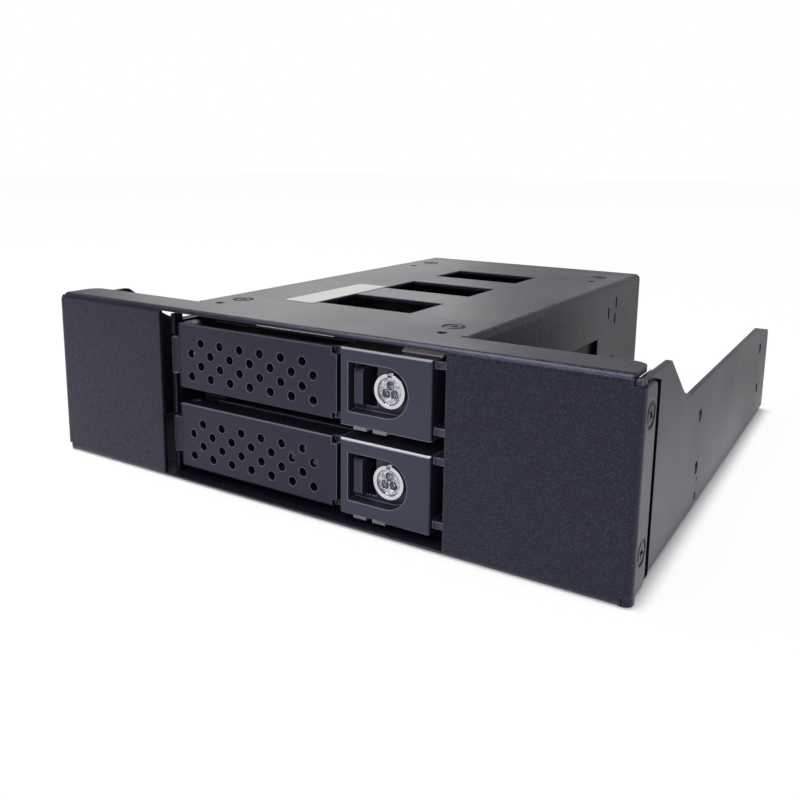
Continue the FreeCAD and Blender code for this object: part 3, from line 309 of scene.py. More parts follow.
def finish(name, colour, roughness, metallic=0.0, tone=0.10, patch=0.03, edge_radius=0.0003,
           edge_wear_and_highlight=None, edge_share=0.0, painted_highlight=None, grain_size=0.0004, grain_depth=0.00001,
           stretch=(1, 1, 1), fleck=None, fleck_share=0.0, fleck_size=0.0004, fleck_dot=0.32,
           fleck_even=False, dusty=0.0, rough_change=0.08, specular=0.5, tint=None,
           transmission=0.0, ior=1.5):
    """A material. Lengths are in metres; tone, the shares and dusty run from 0 to 1."""
    material = bpy.data.materials.new(name)
    material.use_nodes = True
    tree = material.node_tree
    tree.nodes.clear()
    out = add(tree, "ShaderNodeOutputMaterial", (1500, 0))
    shader = add(tree, "ShaderNodeBsdfPrincipled", (1200, 0), Metallic=metallic, IOR=ior,
                 Specular_IOR_Level=specular, Transmission_Weight=transmission)
    if tint:
        shader.inputs["Specular Tint"].default_value = tint
    place = add(tree, "ShaderNodeTexCoord", (-900, 0))
    broad = add(tree, "ShaderNodeTexNoise", (-650, 0), Scale=1.0 / patch, Detail=4.0)
    spread = ramp(tree, (-400, 0), *NOISE_SPAN, 1.0 - tone, 1.0 + tone)
    base = add(tree, "ShaderNodeRGB", (-400, 250))
    base.outputs[0].default_value = colour
    toned = add(tree, "ShaderNodeVectorMath", (-150, 150), operation="SCALE")
    wire(tree, (place, "Object", broad, "Vector"), (broad, "Fac", spread, "Value"),
         (base, "Color", toned, 0), (spread, "Result", toned, "Scale"))
    last = toned.outputs["Vector"]

    def layer(mask, over, at):
        """Mixes one more colour over the last by a mask."""
        mix = add(tree, "ShaderNodeMix", at, data_type="RGBA", in7=over)
        tree.links.new(mask, mix.inputs[0])
        tree.links.new(last, mix.inputs[6])
        return mix.outputs[2]

    if fleck:
        specks = add(tree, "ShaderNodeGroup", (-150, -150), node_tree=flakes, Size=fleck_size,
                     Share=fleck_share, Dot=fleck_dot)
        last = layer(specks.outputs["Mask" if fleck_even else "Faint"], fleck, (100, 150))
    edges = add(tree, "ShaderNodeGroup", (100, -250), node_tree=soft_edges, Radius=edge_radius,
                Reach=edge_share)
    # a lighter colour on every edge: partly wear, partly a painted highlight line
    if edge_wear_and_highlight:
        last = layer(edges.outputs["Edge"], edge_wear_and_highlight, (350, 150))
    # a light colour on round edges that face up and to the front: a painted highlight
    if painted_highlight:
        last = layer(edges.outputs["Painted Highlight"], painted_highlight, (480, 150))
    if dusty:
        fall = add(tree, "ShaderNodeGroup", (350, -100), node_tree=dust, Amount=dusty)
        last = layer(fall.outputs["Mask"], DUST_GREY, (600, 150))
    skin = add(tree, "ShaderNodeGroup", (600, -350), node_tree=grain, Size=grain_size,
               Depth=grain_depth, Stretch=stretch)
    rough = ramp(tree, (900, -150), *NOISE_SPAN, max(0.02, roughness - rough_change),
                 min(1.0, roughness + rough_change))
    wire(tree, (edges, "Normal", skin, "Normal"), (skin, "Normal", shader, "Normal"),
         (broad, "Fac", rough, "Value"), (rough, "Result", shader, "Roughness"),
         (shader, "BSDF", out, "Surface"))
    tree.links.new(last, shader.inputs["Base Color"])
    return material


print("shared effects in each finish:", len(bpy.data.node_groups))


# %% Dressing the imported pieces
def dress(material, *nodes):
    """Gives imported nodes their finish, each in one slot."""
    for node in nodes:
        slots = parts[node].data.materials
        slots.clear()
        slots.append(material)


def in_both(*names):
    """The names of pieces that the upper and the lower tray each have."""
    return [f"{side}_{name}" for side in ("upper", "lower") for name in names]


print("packed pieces to dress:", len(parts))

# %% [markdown]
# ### The coated steel
#
# The cover, the base, the shelf and the sleds are steel with a satin black powder coat. It is not
# pure black: it leans a little to blue, and a structured coat has bright specks. It is thinner on
# cut edges, which catch a line of light; a lighter edge colour paints both the thin coat and that
# highlight. The hills of the coat are far lower than a face is wide, so a bump does better than
# real relief.

# %% Steel finishes
BLUE_SHEEN = (0.68, 0.70, 1.0, 1.0)
coat_black = finish("satin_black_coat", shade(18, 18, 27), 0.31, patch=0.05, edge_radius=0.0005,
                    edge_wear_and_highlight=shade(56, 55, 64), edge_share=0.3, grain_size=0.0005,
                    grain_depth=0.00006, fleck=shade(48, 48, 62), fleck_share=0.5,
                    fleck_size=0.0003, fleck_dot=0.45, dusty=0.03, specular=0.41, tint=BLUE_SHEEN)
base_black = finish("satin_black_base", shade(26, 25, 31), 0.34, patch=0.06, edge_radius=0.0004,
                    edge_wear_and_highlight=shade(66, 64, 70), edge_share=0.3, grain_depth=0.000018,
                    fleck=shade(54, 53, 64), fleck_share=0.3, fleck_size=0.0003, fleck_dot=0.4,
                    dusty=0.05, specular=0.68, tint=BLUE_SHEEN)
inner_black = finish("inner_black_coat", shade(26, 26, 33), 0.45, patch=0.04, edge_radius=0.0002,
                     edge_wear_and_highlight=shade(60, 60, 66), edge_share=0.3, grain_depth=0.000012,
                     dusty=0.05, specular=0.4)
dress(coat_black, "front_cover")
dress(base_black, "base_tray")
dress(inner_black, "divider_shelf", *in_both("sled"))
print("coated steel: 3 finishes")

# %% [markdown]
# ### The mouldings
#
# The tray fronts and levers are moulded in charcoal plastic. Their tools are spark-eroded, which
# leaves a finer and more even skin than powder does, and every outer edge has a small radius that
# shows as a thin light line. That line is painted: a light colour on every edge, partly as wear and
# partly as a highlight, and a lighter painted highlight on round edges that face up and to the
# front. Some of the imported edges are rounded and some are sharp. The soft edges turn the sharp
# ones and the painted highlight lightens the rounded ones, which costs no more faces.

# %% Plastic finishes
tray_plastic = finish("charcoal_moulding", shade(38, 39, 49), 0.36, tone=0.08, patch=0.02,
                      painted_highlight=shade(222, 222, 228), edge_radius=0.00035,
                      edge_wear_and_highlight=shade(168, 168, 182), edge_share=0.6, grain_size=0.00022,
                      grain_depth=0.000006, dusty=0.04, specular=0.6, tint=BLUE_SHEEN)
lever_plastic = finish("charcoal_lever", shade(24, 24, 33), 0.40, tone=0.08, patch=0.02,
                       painted_highlight=shade(104, 104, 114), edge_wear_and_highlight=shade(150, 150, 164),
                       edge_share=0.6, grain_size=0.00022, grain_depth=0.000006, dusty=0.03,
                       specular=0.46, tint=BLUE_SHEEN)
latch_plastic = finish("charcoal_latch", shade(32, 32, 42), 0.26, tone=0.08, patch=0.01,
                       edge_radius=0.0005, edge_wear_and_highlight=shade(112, 112, 126), edge_share=0.5,
                       grain_size=0.0002, grain_depth=0.000005, tint=BLUE_SHEEN)
guide_plastic = finish("matt_black_guide", shade(20, 20, 21), 0.55, patch=0.02,
                       edge_radius=0.0002, grain_size=0.0003, grain_depth=0.000008, dusty=0.05)
socket_plastic = finish("black_socket", shade(17, 17, 18), 0.48, patch=0.01,
                        edge_radius=0.00015, grain_size=0.0002, grain_depth=0.000005)
pipe_plastic = finish("smoked_pipe", shade(150, 152, 158), 0.30, tone=0.05, patch=0.01,
                      edge_radius=0.0001, grain_size=0.0003, grain_depth=0.000004,
                      transmission=0.55, ior=1.49)
dress(tray_plastic, *in_both("tray_front"))
dress(lever_plastic, *in_both("lever"))
dress(latch_plastic, *in_both("latch"))
dress(pipe_plastic, *in_both("light_pipes"))
dress(socket_plastic, "data_ports", "power_port", *in_both("drive_socket"))
dress(guide_plastic, "guide_left", "guide_right")
print("mouldings: 6 finishes")

# %% [markdown]
# ### Bright metals
#
# The lock is nickel-plated zinc, the pins and nuts are zinc-plated steel and the springs are bright
# wire. All are fully metallic; what tells them apart is colour and how far the highlight spreads.
# The leaf spring under the roof lies in the shade of the flange, and it is painted near white and
# hardly metallic, a painted brightness that stands in for its bright reflection.
# The key way is a deep grain on a mirror, which gives glints without modelling worn pins.

# %% Metal finishes
lock_metal = finish("plated_lock", shade(206, 206, 212), 0.20, metallic=1.0, tone=0.08,
                    patch=0.002, edge_radius=0.00015, edge_wear_and_highlight=shade(240, 240, 244),
                    edge_share=0.6, grain_size=0.0005, grain_depth=0.00002)
key_metal = finish("worn_key_way", shade(178, 179, 188), 0.14, metallic=1.0, tone=0.55,
                   patch=0.0011, edge_radius=0.0002, edge_wear_and_highlight=shade(240, 240, 246),
                   edge_share=0.9, grain_size=0.0010, grain_depth=0.00026)
zinc = finish("zinc_plate", shade(172, 174, 176), 0.34, metallic=1.0, tone=0.12, patch=0.004,
              edge_radius=0.00012, edge_wear_and_highlight=shade(214, 214, 216), edge_share=0.5,
              grain_depth=0.000006)
spring_wire = finish("spring_steel", shade(190, 191, 195), 0.24, metallic=1.0, tone=0.08,
                     patch=0.006, edge_radius=0.00008, grain_size=0.0006, grain_depth=0.000004,
                     stretch=(0.1, 1, 1))
# near white and hardly metallic: painted brightness in place of the shaded leaf's reflection
leaf_steel_painted_bright = finish("leaf_steel_painted_bright", shade(236, 230, 222), 0.50, metallic=0.15, tone=0.06,
                    patch=0.004, edge_radius=0.00008, edge_wear_and_highlight=shade(244, 242, 236),
                    edge_share=0.6, grain_size=0.0006, grain_depth=0.000004)
screw_black = finish("black_screw", shade(15, 15, 18), 0.36, tone=0.15, patch=0.002,
                     edge_radius=0.00015, edge_wear_and_highlight=shade(70, 69, 74), edge_share=0.4,
                     grain_size=0.0003, grain_depth=0.000004, specular=0.3)
gold = finish("gold_contact", shade(212, 170, 92), 0.26, metallic=1.0, tone=0.08, patch=0.003,
              edge_radius=0.00005, grain_size=0.0003, grain_depth=0.000003)
dress(lock_metal, *in_both("lock_ring"))
dress(key_metal, *in_both("lock_barrel"))
dress(zinc, "clinch_nuts", "board_screws", *in_both("lock_cam", "hinge_pin", "front_screws"))
dress(spring_wire, *in_both("lever_spring", "latch_spring"))
dress(leaf_steel_painted_bright, "ground_spring")
dress(screw_black, "strip_screws", "top_screws", "foot_screws")
print("metals: 7 finishes")

# %% [markdown]
# ### The board
#
# A circuit board is green because of its solder mask, and its tinned holes show as small gold
# dots. Those are the same specks as in the powder coat, only larger, further apart and all of one
# strength.

# %% Board finishes
board_green = finish("solder_mask", shade(18, 62, 40), 0.3, tone=0.12, patch=0.004,
                     edge_radius=0.0001, edge_wear_and_highlight=shade(150, 140, 92), edge_share=0.5,
                     fleck=shade(176, 160, 96), fleck_share=0.3, fleck_size=0.0026,
                     fleck_dot=0.11, fleck_even=True, grain_size=0.0006, grain_depth=0.000006)
can_metal = finish("capacitor_can", shade(176, 177, 180), 0.3, metallic=1.0, tone=0.06,
                   patch=0.006, grain_depth=0.000003, stretch=(1, 0.1, 1))
lamp_lens = finish("lamp_lens", shade(214, 222, 210), 0.2, tone=0.03, patch=0.004,
                   edge_radius=0.0001, grain_size=0.0003, grain_depth=0.000002, transmission=0.4)
dress(board_green, "backplane_board")
dress(can_metal, "capacitors")
dress(lamp_lens, "indicator_lamps")
print("materials:", len(bpy.data.materials))

# %% [markdown]
# ## Repeats grown by Geometry Nodes
#
# Screws, wound springs, contacts and the small parts on the board are the same shape many times
# over. A node tree makes the shape once from named sizes and puts a copy at every seed point. The
# seed mesh is only points; an attribute on them can say which way each copy faces. The tree ends
# by making the copies real, and the plain mesh that comes out is kept instead of the modifier.

# %% Growing a tree on seed points
FRONT = -71.5  # the front's face, mm
ROWS = {"lower": 2.8, "upper": 21.9}  # each tray's underside, mm


def grow(name, tree, points, values, outward=None):
    """Runs a tree on points given in millimetres and returns an object with the plain mesh."""
    mesh = bpy.data.meshes.new(name)
    mesh.from_pydata([tuple(c * MM for c in p) for p in points], [], [])
    if outward:
        facing = mesh.attributes.new("outward", "FLOAT_VECTOR", "POINT")
        for row, direction in zip(facing.data, outward):
            row.vector = direction
    grown = placed(name, mesh)
    modifier = grown.modifiers.new("grow", "NODES")
    modifier.node_group = tree
    for item in tree.interface.items_tree:
        if item.item_type == "SOCKET" and item.in_out == "INPUT" and item.name in values:
            modifier[item.identifier] = values[item.name]
    graph = bpy.context.evaluated_depsgraph_get()
    plain = bpy.data.meshes.new_from_object(grown.evaluated_get(graph), depsgraph=graph)
    grown.modifiers.remove(modifier)
    grown.data = plain
    return grown


print("rows at, mm:", ROWS)


# %% What every tree shares
GEOMETRY, MATERIAL = "NodeSocketGeometry", "NodeSocketMaterial"


def new_tree(name, sizes):
    """A Geometry Nodes group: seed points, named sizes and a material in, geometry out."""
    return new_group(name, "GeometryNodeTree",
                     {"Geometry": GEOMETRY, **sizes, "Material": MATERIAL}, {"Geometry": GEOMETRY})


def face_out(tree, copies, at):
    """Turns each copy's Z towards the attribute on its seed point."""
    facing = add(tree, "GeometryNodeInputNamedAttribute", at, data_type="FLOAT_VECTOR",
                 Name="outward")
    aim = add(tree, "FunctionNodeAlignRotationToVector", (at[0] + 200, at[1]), axis="Z")
    wire(tree, (facing, "Attribute", aim, "Vector"), (aim, "Rotation", copies, "Rotation"))


def finish_tree(tree, start, end, last):
    """Ends a tree: the copies made real, and one material on all of it."""
    real = add(tree, "GeometryNodeRealizeInstances", (1500, 0))
    paint = add(tree, "GeometryNodeSetMaterial", (1700, 0))
    end.location = (1900, 0)
    wire(tree, (last, "Instances", real, "Geometry"), (real, "Geometry", paint, "Geometry"),
         (start, "Material", paint, "Material"), (paint, "Geometry", end, "Geometry"))


print("shared by every tree: its sockets, its facing and its end")

# %% [markdown]
# ### Screws
#
# Every screw here has a cross recess: two blades of a driver, crossed and tapering. A cone with
# four corners, squeezed flat, is such a blade. The head is two stacked cones, which can make a
# countersunk head as well as a domed one, and the recess is cut by a boolean.

# %% Screw sizes
SIZES = ("Foot Radius", "Rim Radius", "Top Radius", "Foot Height", "Rim Height", "Thread Radius",
         "Recess", "Recess Depth")
FLAT = dict(zip(SIZES, (0.0016, 0.0024, 0.00165, 0.0006, 0.0003, 0.00145, 0.00145, 0.0010)))
PAN = dict(zip(SIZES, (0.00268, 0.00268, 0.0019, 0.00075, 0.00041, 0.00145, 0.0013, 0.0009)))
SMALL = dict(zip(SIZES, (0.00185, 0.00185, 0.0013, 0.0005, 0.0003, 0.001, 0.0009, 0.0006)))
print("head radii, mm:", [round(kind["Rim Radius"] / MM, 2) for kind in (FLAT, PAN, SMALL)])


# %% Cones inside a tree
def cone(tree, start, at, top, bottom, depth, sides=32):
    """A cone sized by inputs of the group, or by another socket."""
    made = add(tree, "GeometryNodeMeshCone", at, Vertices=sides)
    for socket, source in (("Radius Top", top), ("Radius Bottom", bottom), ("Depth", depth)):
        source = start.outputs[source] if isinstance(source, str) else source
        tree.links.new(source, made.inputs[socket])
    return made


def lower(tree, start, at, source, out, *amounts, factor=-1.0):
    """Moves a mesh down by the sum of the named inputs."""
    total = start.outputs[amounts[0]]
    for name in amounts[1:]:
        plus = calc(tree, "ADD", (at[0] - 200, at[1] - 200))
        tree.links.new(total, plus.inputs[0])
        tree.links.new(start.outputs[name], plus.inputs[1])
        total = plus.outputs[0]
    minus = calc(tree, "MULTIPLY", (at[0] - 100, at[1] - 100), in1=factor)
    tree.links.new(total, minus.inputs[0])
    offset = add(tree, "ShaderNodeCombineXYZ", (at[0] - 50, at[1] - 50))
    moved = add(tree, "GeometryNodeTransform", at)
    wire(tree, (minus, "Value", offset, "Z"), (source, out, moved, "Geometry"),
         (offset, "Vector", moved, "Translation"))
    return moved


def sunk(tree, start, at, sizes, *amounts, sides=32):
    """A cone with its base lowered below the screw's top by the named inputs."""
    made = cone(tree, start, (at[0] - 300, at[1]), *sizes, sides)
    return lower(tree, start, at, made, "Mesh", *amounts)


TIP_SHARE, BLADE_SHARE = 0.4, 0.34  # of the recess: its width at the bottom, a blade's thickness
HALF_DOWN = -0.5  # the shank starts halfway up the foot, so that the two overlap
PROUD = 0.00001  # how far a blade starts above the head, so that the cut is clean
ANY_TURN = 1.5  # a driver leaves its cross anywhere within a quarter turn
print("blade, share of its width at the bottom:", TIP_SHARE)


# %% Screw tree
def make_screw_tree():
    tree, start, end = new_tree("cross_screw", {**PAN, "Length": 0.004})
    rim = sunk(tree, start, (-300, 300), ("Top Radius", "Rim Radius", "Rim Height"), "Rim Height")
    foot = sunk(tree, start, (-300, 0), ("Rim Radius", "Foot Radius", "Foot Height"),
                "Foot Height", "Rim Height")
    shank = sunk(tree, start, (-300, -300), ("Thread Radius", "Thread Radius", "Length"),
                 "Length", sides=24)
    under = lower(tree, start, (100, -300), shank, "Geometry", "Foot Height", factor=HALF_DOWN)
    whole = add(tree, "GeometryNodeMeshBoolean", (300, 0), operation="UNION", solver="EXACT")
    for piece in (rim, foot, under):
        tree.links.new(piece.outputs["Geometry"], whole.inputs["Mesh 2"])
    tip = calc(tree, "MULTIPLY", (-800, -600), in1=TIP_SHARE)
    tree.links.new(start.outputs["Recess"], tip.inputs[0])
    blade = sunk(tree, start, (-300, -600), ("Recess", tip.outputs[0], "Recess Depth"),
                 "Recess Depth", sides=4)
    cut = add(tree, "GeometryNodeMeshBoolean", (700, 0), operation="DIFFERENCE", solver="EXACT")
    tree.links.new(whole.outputs["Mesh"], cut.inputs["Mesh 1"])
    for turned in (0.0, math.pi / 2):
        flat = add(tree, "GeometryNodeTransform", (0, -600 - turned * 100),
                   Translation=(0, 0, PROUD), Rotation=(0, 0, turned), Scale=(1, BLADE_SHARE, 1))
        wire(tree, (blade, "Geometry", flat, "Geometry"), (flat, "Geometry", cut, "Mesh 2"))
    copies = add(tree, "GeometryNodeInstanceOnPoints", (1100, 0))
    turn = add(tree, "GeometryNodeRotateInstances", (1300, 0))
    chance = add(tree, "FunctionNodeRandomValue", (1100, -300), data_type="FLOAT_VECTOR",
                 in1=(0, 0, ANY_TURN), Seed=5)
    wire(tree, (start, "Geometry", copies, "Points"), (cut, "Mesh", copies, "Instance"),
         (copies, "Instances", turn, "Instances"), (chance, "Value", turn, "Rotation"))
    face_out(tree, copies, (700, -300))
    finish_tree(tree, start, end, turn)
    return tree


screw_tree = make_screw_tree()
print("group", screw_tree.name)

# %% [markdown]
# The flat screws sit flush in countersinks, so their point is in the face of the sheet. The pan
# screws of the board and of the tray fronts stand proud, so their point is on top of the head.


# %% Made pieces in place of packed ones
def instead(made, node, body="cage"):
    """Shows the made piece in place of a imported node, on the node's own body."""
    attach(made, body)
    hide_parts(node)


def screws(node, points, outward, values, material, body="cage"):
    """Crossed screws on points in millimetres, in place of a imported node."""
    made = grow(node + "_crossed", screw_tree, points, {**values, "Material": material}, outward)
    instead(made, node, body)


print("screws take the place of packed nodes, on the nodes' own bodies")

# %% The cage's and the trays' screws
LEFT, RIGHT, UP, DOWN, BACK = (-1, 0, 0), (1, 0, 0), (0, 0, 1), (0, 0, -1), (0, 1, 0)
STRIP_X, STRIP_Y = 74.0, FRONT + 4.3
ROOF, FLOOR = 41.4, 0.0
BOARD_FRONT, BOARD_REAR = FRONT + 119.0, FRONT + 120.6
PAN_TOP, SMALL_TOP = BOARD_REAR + 1.16, FRONT + 13.7 + 0.8


def pairs(x, first, second):
    """Two places (y, z) on the left side and the same two on the right."""
    return [(x * side, *place) for side in (-1, 1) for place in (first, second)]


screws("strip_screws", pairs(STRIP_X, (STRIP_Y, 9.1), (STRIP_Y, 33.9)), [LEFT] * 2 + [RIGHT] * 2,
       {**FLAT, "Length": 0.0042}, screw_black)
screws("top_screws", pairs(29.0, (FRONT + 18.5, ROOF), (FRONT + 111.0, ROOF)), [UP] * 4,
       {**FLAT, "Length": 0.0033}, screw_black)
screws("foot_screws", pairs(41.0, (FRONT + 28.0, FLOOR), (FRONT + 106.0, FLOOR)), [DOWN] * 4,
       {**FLAT, "Length": 0.0026}, screw_black)
screws("board_screws", pairs(32.5, (PAN_TOP, 8.5), (PAN_TOP, 35.0)), [BACK] * 4,
       {**PAN, "Length": 0.0045}, zinc)
for side, base in ROWS.items():
    screws(side + "_front_screws", [(x, SMALL_TOP, base + 4.2) for x in (-28.0, 30.2)],
           [BACK] * 2, {**SMALL, "Length": 0.0038}, zinc, side + "_tray")
print("screws grown:", 4 * 4 + 2 * 2)

# %% [markdown]
# ### Wound springs
#
# A spring is a circle carried along a helix. The lever's spring is wound round the hinge pin, with
# a leg at each end: one rests in the tray front and one pushes the lever. The latch's spring is a
# small open coil along the latch's travel. A screw modifier could wind either, but not its legs;
# a tree joins both paths and gives them one wire.


# %% Spring tree
def make_coil_tree():
    tree, start, end = new_tree("wound_spring",
                                {"Turns": 12.0, "Radius": 0.001, "Height": 0.006, "Wire": 0.0002,
                                 "Leg": 0.004, "With Legs": False, "Spin": 0.0})
    helix = add(tree, "GeometryNodeCurveSpiral", (-600, 200), Resolution=20)
    wire(tree, (start, "Turns", helix, "Rotations"), (start, "Radius", helix, "Start Radius"),
         (start, "Radius", helix, "End Radius"), (start, "Height", helix, "Height"))
    back = calc(tree, "MULTIPLY", (-1000, -400), in1=-1.0)
    far_side = calc(tree, "MULTIPLY", (-1000, -200), in1=-1.0)
    wire(tree, (start, "Leg", back, 0), (start, "Radius", far_side, 0))
    legs = add(tree, "GeometryNodeJoinGeometry", (-100, -200))
    for x, z in ((start.outputs["Radius"], None), (far_side.outputs[0], start.outputs["Height"])):
        ends = []
        for y in (None, back.outputs[0]):
            point = add(tree, "ShaderNodeCombineXYZ", (-700, -300))
            for axis, source in (("X", x), ("Y", y), ("Z", z)):
                if source:
                    tree.links.new(source, point.inputs[axis])
            ends.append(point)
        line = add(tree, "GeometryNodeCurvePrimitiveLine", (-400, -200))
        wire(tree, (ends[0], "Vector", line, "Start"), (ends[1], "Vector", line, "End"),
             (line, "Curve", legs, "Geometry"))
    choice = add(tree, "GeometryNodeSwitch", (50, -200), input_type="GEOMETRY")
    paths = add(tree, "GeometryNodeJoinGeometry", (200, 0))
    ring = add(tree, "GeometryNodeCurvePrimitiveCircle", (200, -300), Resolution=8)
    skin = add(tree, "GeometryNodeCurveToMesh", (400, 0), Fill_Caps=True)
    soft = add(tree, "GeometryNodeSetShadeSmooth", (600, 0))
    turn = add(tree, "ShaderNodeCombineXYZ", (600, -200))
    spun = add(tree, "GeometryNodeTransform", (800, 0))
    copies = add(tree, "GeometryNodeInstanceOnPoints", (1100, 0))
    wire(tree, (start, "With Legs", choice, "Switch"), (legs, "Geometry", choice, "True"),
         (helix, "Curve", paths, "Geometry"), (choice, "Output", paths, "Geometry"),
         (start, "Wire", ring, "Radius"), (paths, "Geometry", skin, "Curve"),
         (ring, "Curve", skin, "Profile Curve"), (skin, "Mesh", soft, "Geometry"),
         (start, "Spin", turn, "Z"), (turn, "Vector", spun, "Rotation"),
         (soft, "Geometry", spun, "Geometry"), (start, "Geometry", copies, "Points"),
         (spun, "Geometry", copies, "Instance"))
    face_out(tree, copies, (600, -400))
    finish_tree(tree, start, end, copies)
    return tree


coil_tree = make_coil_tree()
print("group", coil_tree.name)

# %% Springs in place
HINGE = (-31.8, FRONT + 5.0)
for side, base in ROWS.items():
    turns = grow(side + "_lever_coil", coil_tree, [(*HINGE, base + 4.65)],
                 {"Turns": 14.5, "Radius": 0.00115, "Height": 0.0069, "Wire": 0.00023, "Leg": 0.005,
                  "With Legs": True, "Spin": math.pi / 2, "Material": spring_wire}, [UP])
    instead(turns, side + "_lever_spring", side + "_tray")
    push = grow(side + "_latch_coil", coil_tree, [(16.5, FRONT + 9.2, base + 2.9)],
                {"Turns": 8.0, "Radius": 0.0007, "Height": 0.0048, "Wire": 0.00018,
                 "Material": spring_wire}, [RIGHT])
    instead(push, side + "_latch_spring", side + "_tray")
    print(side, "springs, faces:", len(turns.data.polygons) + len(push.data.polygons))

# %% [markdown]
# ### Blocks in rows
#
# Contacts, the pins of a chip and the little parts on a board are all small blocks. One tree puts
# a row of blocks at every seed point: a count, a step from one block to the next and a size.


# %% Block tree
def make_block_tree():
    tree, start, end = new_tree("block_rows", {"Count": 1, "Step": (0.001, 0, 0),
                                               "Size": (0.001, 0.001, 0.001)})
    row = add(tree, "GeometryNodeMeshLine", (-300, 200), mode="OFFSET")
    rows = add(tree, "GeometryNodeInstanceOnPoints", (0, 0))
    real = add(tree, "GeometryNodeRealizeInstances", (200, 0))
    block = add(tree, "GeometryNodeMeshCube", (200, -300))
    copies = add(tree, "GeometryNodeInstanceOnPoints", (500, 0))
    wire(tree, (start, "Count", row, "Count"), (start, "Step", row, "Offset"),
         (start, "Geometry", rows, "Points"), (row, "Mesh", rows, "Instance"),
         (rows, "Instances", real, "Geometry"), (real, "Geometry", copies, "Points"),
         (start, "Size", block, "Size"), (block, "Mesh", copies, "Instance"))
    finish_tree(tree, start, end, copies)
    return tree


block_tree = make_block_tree()
print("group", block_tree.name)


# %% Rows of blocks
def blocks(name, starts, size, material, count=1, step=(1, 0, 0)):
    """Rows of blocks: starts and sizes in millimetres, the first block's middle at each start."""
    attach(grow(name, block_tree, starts,
                 {"Count": count, "Step": tuple(c * MM for c in step),
                  "Size": tuple(c * MM for c in size), "Material": material}), "cage")


print("rows of blocks are ready to place")

# %% [markdown]
# ### Contacts of the sockets and of the rear headers
#
# A drive's connector has seven contacts for data and fifteen for power, 1.27 mm apart. In the
# sockets they lie on the lower wall of each slot, and in the rear headers on top of the tongue.
# They could be cut from one sheet mesh, but rows keep the pitch exact and each contact a block.

# %% Contacts
PITCH = 1.27
DATA, POWER = 7, 15  # contacts of each kind
ALONG = (PITCH, 0, 0)
SOCKET_LEFT, SOCKET_MIDDLE = -15.7, 3.8
TAIL, CONTACT, PORT_CONTACT = (0.42, 0.5, 0.42), (0.7, 5.6, 0.12), (0.7, 5.4, 0.12)
for side, base in ROWS.items():
    middle = base + SOCKET_MIDDLE
    for part, count, begin in (("data", DATA, 5.2), ("power", POWER, 17.6)):
        x = SOCKET_LEFT + begin
        blocks(f"{side}_{part}_contacts", [(x, BOARD_FRONT - 6.0, middle - 0.62)], CONTACT, gold,
               count, ALONG)
        blocks(f"{side}_{part}_tails", [(x, BOARD_REAR + 0.25, middle)], TAIL, zinc, count, ALONG)
DATA_X, POWER_X = -21.0, 10.0  # the middles of the rear headers
PORT_Y, DATA_RISE, POWER_RISE = BOARD_REAR + 4.6, 7.66, 12.66
blocks("data_port_contacts", [(DATA_X - PITCH * (DATA // 2), PORT_Y, base + DATA_RISE)
                              for base in ROWS.values()], PORT_CONTACT, gold, DATA, ALONG)
blocks("power_port_contacts", [(POWER_X - PITCH * (POWER // 2), PORT_Y,
                                ROWS["lower"] + POWER_RISE)], PORT_CONTACT, gold, POWER, ALONG)
print("contacts per socket:", DATA + POWER)

# %% [markdown]
# ### Small parts on the board
#
# The board behind the drives carries little besides its headers: one controller, one regulator
# with its coil, and the usual handful of resistors and capacitors, each with tinned ends. They are
# soldered flat on the rear face, clear of the headers, the air slots and the screws.

# %% Finishes of the small parts
chip_black = finish("moulded_chip", shade(22, 22, 24), 0.5, tone=0.06, patch=0.002,
                    edge_radius=0.00012, edge_wear_and_highlight=shade(52, 52, 54), edge_share=0.5,
                    grain_size=0.0002, grain_depth=0.000004)
ferrite = finish("grey_ferrite", shade(66, 66, 68), 0.6, tone=0.12, patch=0.001,
                 edge_radius=0.00015, grain_size=0.0003)
ceramic = finish("tan_ceramic", shade(146, 116, 84), 0.45, tone=0.12, patch=0.001,
                 edge_radius=0.00008, grain_size=0.0002, grain_depth=0.000003)
resistor_black = finish("resistor_glaze", shade(24, 24, 26), 0.3, tone=0.05, patch=0.001,
                        edge_radius=0.00006, grain_size=0.0002, grain_depth=0.000002)
print("small part finishes: 4")


# %% Controller and regulator
def seated(half, *points):
    """Points (x, z) on the board's rear face, raised by half the part's height."""
    return [(x, BOARD_REAR + half, z) for x, z in points]


x, z = (-6.0, 29.5)  # the controller, a flat square chip with pins on all four sides
blocks("controller_body", seated(0.5, (x, z)), (6.0, 0.9, 6.0), chip_black)
blocks("controller_pins_flat", seated(0.14, (x - 2.25, z - 3.25), (x - 2.25, z + 3.25)),
       (0.24, 0.2, 0.9), zinc, 10, (0.5, 0, 0))
blocks("controller_pins_upright", seated(0.14, (x - 3.25, z - 2.25), (x + 3.25, z - 2.25)),
       (0.9, 0.2, 0.24), zinc, 10, (0, 0, 0.5))
x, z = (26.8, 15.5)  # the regulator, with pins on two sides, and its coil
blocks("regulator_body", seated(0.8, (x, z)), (3.9, 1.45, 4.9), chip_black)
blocks("regulator_pins", seated(0.2, (x - 2.45, z - 1.9), (x + 2.45, z - 1.9)),
       (1.2, 0.3, 0.42), zinc, 4, (0, 0, PITCH))
blocks("regulator_coil", seated(1.4, (11.0, 30.0)), (6.4, 2.8, 6.4), ferrite)
blocks("coil_ends", seated(0.5, (7.9, 30.0)), (0.9, 0.95, 3.2), zinc, 2, (6.2, 0, 0))
print("chips:", 2)

